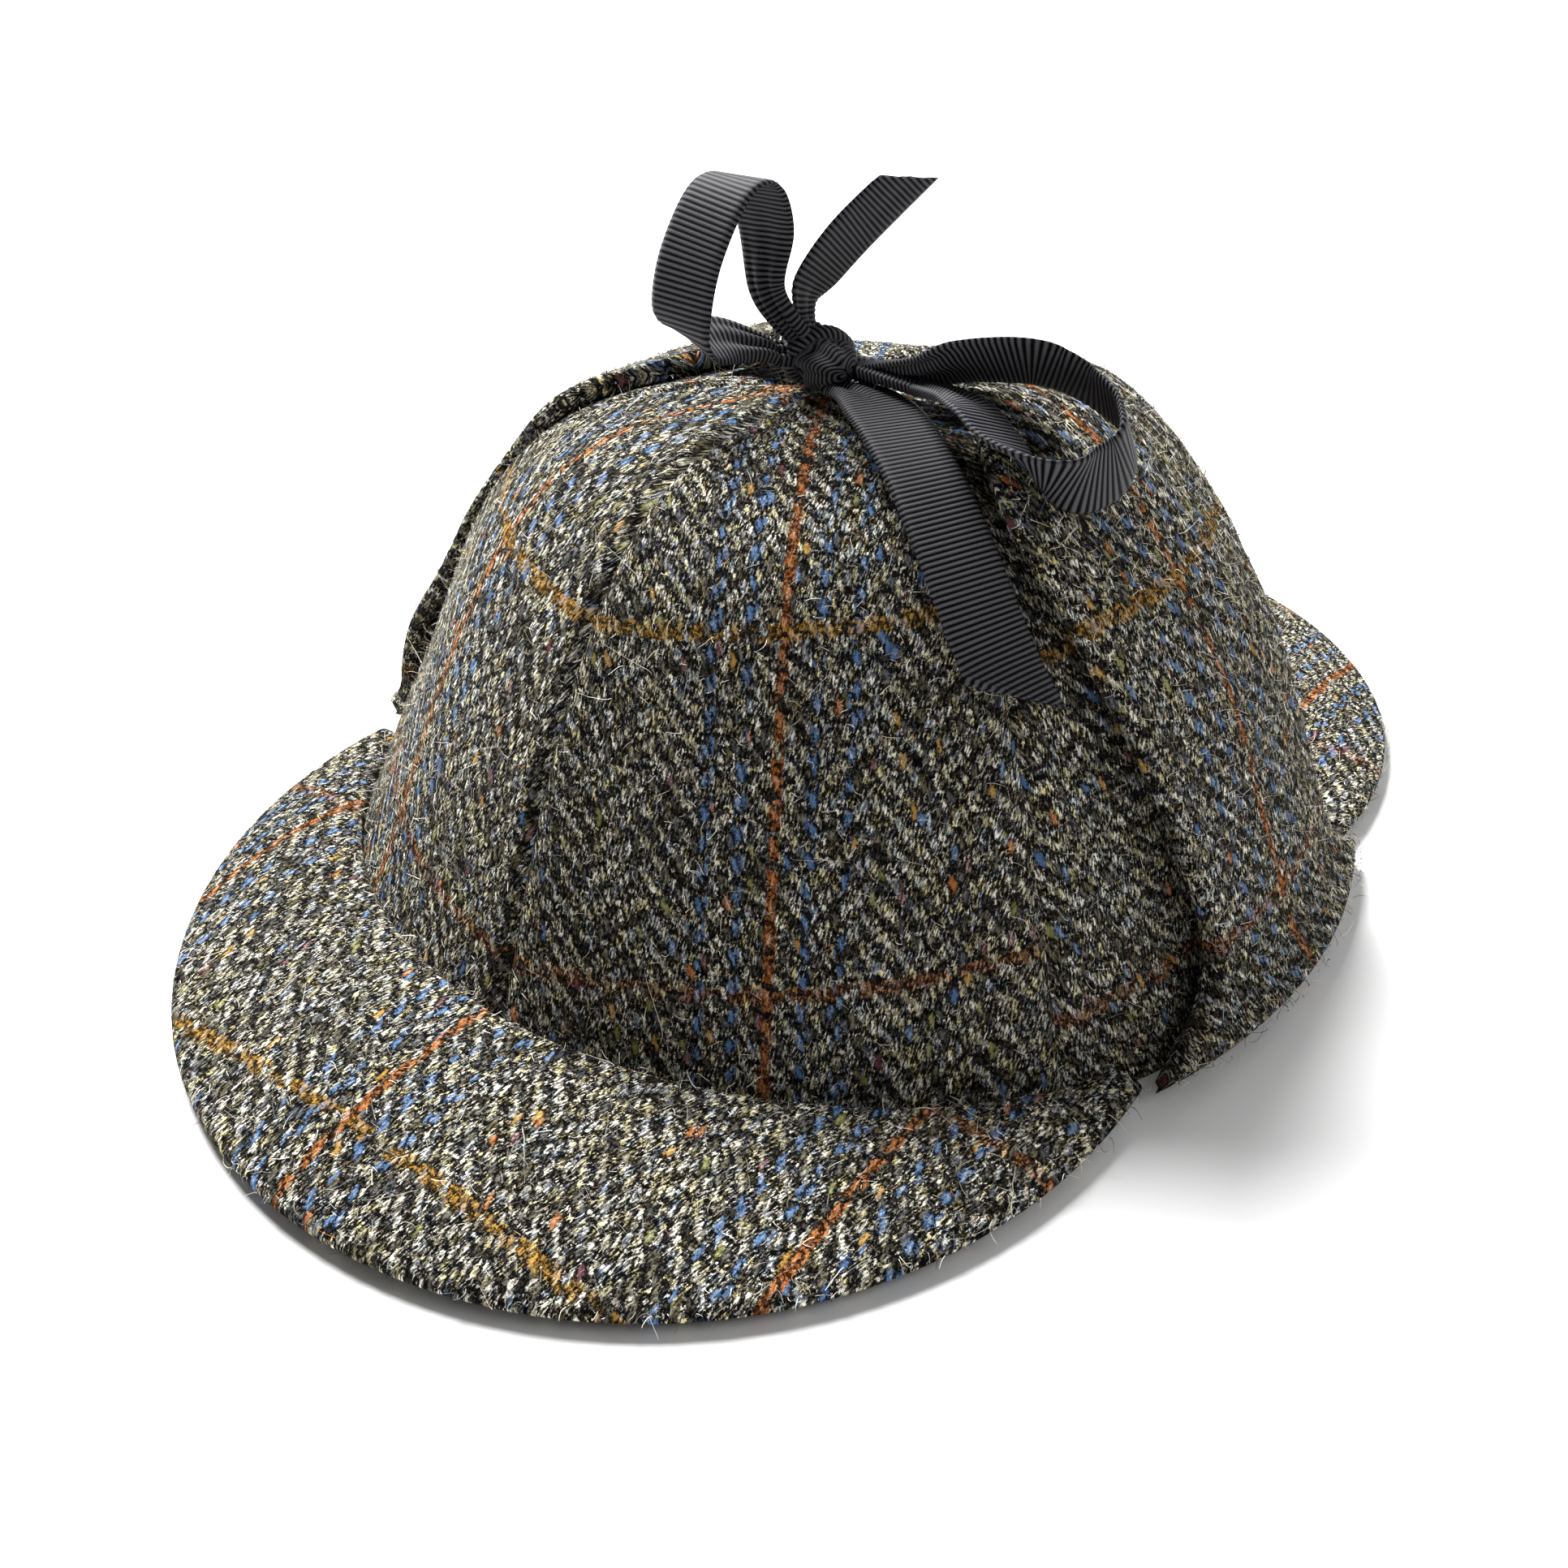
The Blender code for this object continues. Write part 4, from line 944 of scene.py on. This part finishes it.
# Loose wool: short ends all over and a few long pale hairs. Tints come in shares, in the tints' order.
fuzz = {
    "width": 0.000120, "tipShare": 0.45, "sink": 0.00010, "floor": 0.00008, "curl": 0.85, "kink": 0.16,
    "settle": 0.30,
    "tints": [(0.72, 0.66, 0.50), (0.30, 0.27, 0.20), (0.95, 0.92, 0.82), (0.025, 0.023, 0.020),
              (0.10, 0.17, 0.32), (0.36, 0.14, 0.04)],
    "wool": {"segments": 6, "shares": [0.22, 0.14, 0.24, 0.33, 0.04, 0.03]},
    "hairs": {"segments": 16, "shares": [0.2, 0.0, 0.75, 0.0, 0.05, 0.0]},
}
fuzzPieces = {
    "crownWool": {"kind": "wool", "count": 15500, "lengths": (0.0012, 0.0055), "stand": 0.8, "seed": 21},
    "frontVisorWool": {"kind": "wool", "count": 4600, "lengths": (0.0012, 0.0050), "stand": 0.8, "seed": 22},
    "backVisorWool": {"kind": "wool", "count": 4600, "lengths": (0.0012, 0.0050), "stand": 0.8, "seed": 23},
    "leftFlapWool": {"kind": "wool", "count": 6000, "lengths": (0.0012, 0.0055), "stand": 0.9, "seed": 24},
    "rightFlapWool": {"kind": "wool", "count": 6000, "lengths": (0.0012, 0.0055), "stand": 0.9, "seed": 25},
    "crownHairs": {"kind": "hairs", "count": 150, "lengths": (0.005, 0.016), "stand": 0.6, "seed": 31},
    "visorHairs": {"kind": "hairs", "count": 50, "lengths": (0.005, 0.016), "stand": 0.6, "seed": 32},
}


# Wool ends that stand out of a face of the cloth: one joined mesh of thin curling strips.
def makeFuzz(name, slot, points, normals):
    count, lengths, stand = (fuzzPieces[name][key] for key in ("count", "lengths", "stand"))
    kind = fuzz[fuzzPieces[name]["kind"]]
    segments = kind["segments"]
    draw = np.random.default_rng(fuzzPieces[name]["seed"])
    columns = points.shape[1]
    edgeA = points[1:, 1:] - points[:-1, :-1]
    edgeB = points[1:, :-1] - points[:-1, 1:]
    area = np.linalg.norm(np.cross(edgeA, edgeB), axis=-1).ravel()
    pick = draw.choice(area.size, size=count, p=area / area.sum())
    r, c = pick // (columns - 1), pick % (columns - 1)
    s, t = draw.random((2, count, 1))
    base = (points[r, c] * (1 - s) * (1 - t) + points[r + 1, c] * s * (1 - t)
            + points[r, c + 1] * (1 - s) * t + points[r + 1, c + 1] * s * t)
    normal = unit(normals[r, c])
    tangent = unit(np.cross(normal, draw.normal(size=(count, 3))))
    rise = draw.beta(1.3, 2.6, size=(count, 1)) * stand
    way = unit(tangent + normal * rise)
    length = lengths[0] + (lengths[1] - lengths[0]) * draw.beta(1.2, 3.0, size=(count, 1))
    bend = draw.normal(size=(count, 3)) * fuzz["curl"] - normal * rise * fuzz["settle"]
    spots = [base - normal * fuzz["sink"]]
    for _ in range(segments):
        spots.append(spots[-1] + way * length / segments)
        way = unit(way + bend + draw.normal(size=(count, 3)) * fuzz["kink"])
    spots = np.stack(spots, axis=1)
    flat = unit(np.cross(spots[:, -1] - spots[:, 0], draw.normal(size=(count, 3))))[:, None]
    slim = np.linspace(1.0, fuzz["tipShare"], segments + 1)[None, :, None] * fuzz["width"] / 2
    pair = np.stack([spots - flat * slim, spots + flat * slim], axis=2).reshape(count, -1, 3)
    pair[..., 2] = np.maximum(pair[..., 2], fuzz["floor"])
    per = 2 * (segments + 1)
    k = np.arange(segments) * 2
    strip = np.stack([k, k + 1, k + 3, k + 2], axis=-1)
    quads = (np.arange(count)[:, None, None] * per + strip[None]).reshape(-1, 4)
    item = meshObject(name, pair.reshape(-1, 3), [quads], {}, fibreWool)
    tint = np.array(fuzz["tints"])[draw.choice(len(fuzz["tints"]), size=count, p=kind["shares"])]
    tint = tint * draw.uniform(0.7, 1.15, size=(count, 1))
    colours = np.concatenate([np.clip(tint, 0, 1), np.ones((count, 1))], axis=1)
    made = item.data.color_attributes.new("tint", "FLOAT_COLOR", "POINT")
    made.data.foreach_set("color", np.repeat(colours, per, axis=0).ravel().astype(np.float32))
    finishPiece(item, slot)


# The outer face of a sheet and its normals, from the sheet's middle and its wall.
def outerFace(points, wall):
    normals = gridNormals(points)
    return points + normals * np.asarray(wall)[..., None] / 2, normals


crownFace = crownOuter[2:], crownNormals[2:]
frontFace, backFace = (outerFace(middle, np.full(middle.shape[:2], visor["wall"]))
                       for middle in (frontMiddle, backMiddle))
makeFuzz("crownWool", "crown_tweed", *crownFace)
makeFuzz("frontVisorWool", "visor_tweed", *frontFace)
makeFuzz("backVisorWool", "visor_tweed", *backFace)
makeFuzz("leftFlapWool", "flap_tweed", *outerFace(leftMiddle, leftWall))
makeFuzz("rightFlapWool", "flap_tweed", *outerFace(rightMiddle, rightWall))
makeFuzz("crownHairs", "crown_tweed", *crownFace)
makeFuzz("visorHairs", "visor_tweed", *frontFace)
print("loose wool made")


stage = {"size": 3.0, "floor": shade(0.86, 0.86, 0.86), "room": shade(1.0, 1.0, 1.0), "roomLight": 0.17}


def makeStage():
    size = stage["size"]
    points = np.array([[-size, -size, 0], [size, -size, 0], [size, size, 0], [-size, size, 0]])
    made = Shader("paleFloor", {"Base Color": stage["floor"], "Roughness": 0.9, "Specular IOR Level": 0.1})
    item = meshObject("paleFloor", points, [np.array([[0, 1, 2, 3]])], {}, made.material)
    world = bpy.data.worlds.new("paleRoom")
    bpy.context.scene.world = world
    world.use_nodes = True
    light = world.node_tree.nodes["Background"].inputs
    light["Color"].default_value = stage["room"]
    light["Strength"].default_value = stage["roomLight"]


lamps = [
    {"name": "keyLamp", "at": (-0.78, 0.32, 1.06), "size": 0.66, "power": 63.0},
    {"name": "fillLamp", "at": (0.85, 0.42, 0.72), "size": 0.8, "power": 3.6},
    {"name": "backLamp", "at": (0.10, 1.10, 0.70), "size": 0.8, "power": 3.0},
]
lampsAim = (0, 0, 0.04)
# The camera: turn, rise and roll in radians, distance and aim in metres, lens in millimetres.
view = {
    "turn": 0.665, "rise": 0.593, "roll": -0.020, "distance": 0.327545,
    "aim": (-0.010583, -0.002142, 0.000042), "lens": 35.972, "sensor": 36.0, "nearest": 0.01,
}


# A place and turn that looks along the reverse of back.
def aimed(eye, back, roll):
    right = unit(np.cross([0, 0, 1], back))
    up = np.cross(back, right)
    turned = right * math.cos(roll) + up * math.sin(roll)
    raised = -right * math.sin(roll) + up * math.cos(roll)
    spin = np.eye(4)
    spin[:3, 0], spin[:3, 1], spin[:3, 2], spin[:3, 3] = turned, raised, back, eye
    return Matrix(spin.tolist())


def makeLamps():
    for row in lamps:
        data = bpy.data.lights.new(row["name"], "AREA")
        data.shape = "DISK"
        data.size = row["size"]
        data.energy = row["power"]
        item = bpy.data.objects.new(row["name"], data)
        bpy.context.scene.collection.objects.link(item)
        eye = np.array(row["at"])
        item.matrix_world = aimed(eye, unit(eye - np.array(lampsAim)), 0.0)


def makeCamera():
    turn, rise = view["turn"], view["rise"]
    back = np.array([math.sin(turn) * math.cos(rise), -math.cos(turn) * math.cos(rise), math.sin(rise)])
    data = bpy.data.cameras.new("photoCamera")
    data.sensor_width = view["sensor"]
    data.lens = view["lens"]
    data.clip_start = view["nearest"]
    item = bpy.data.objects.new("photoCamera", data)
    bpy.context.scene.collection.objects.link(item)
    item.matrix_world = aimed(np.array(view["aim"]) + back * view["distance"], back, view["roll"])
    bpy.context.scene.camera = item


makeStage()
makeLamps()
makeCamera()
bpy.context.scene.view_settings.view_transform = "Standard"
print("stage, lamps and camera set")
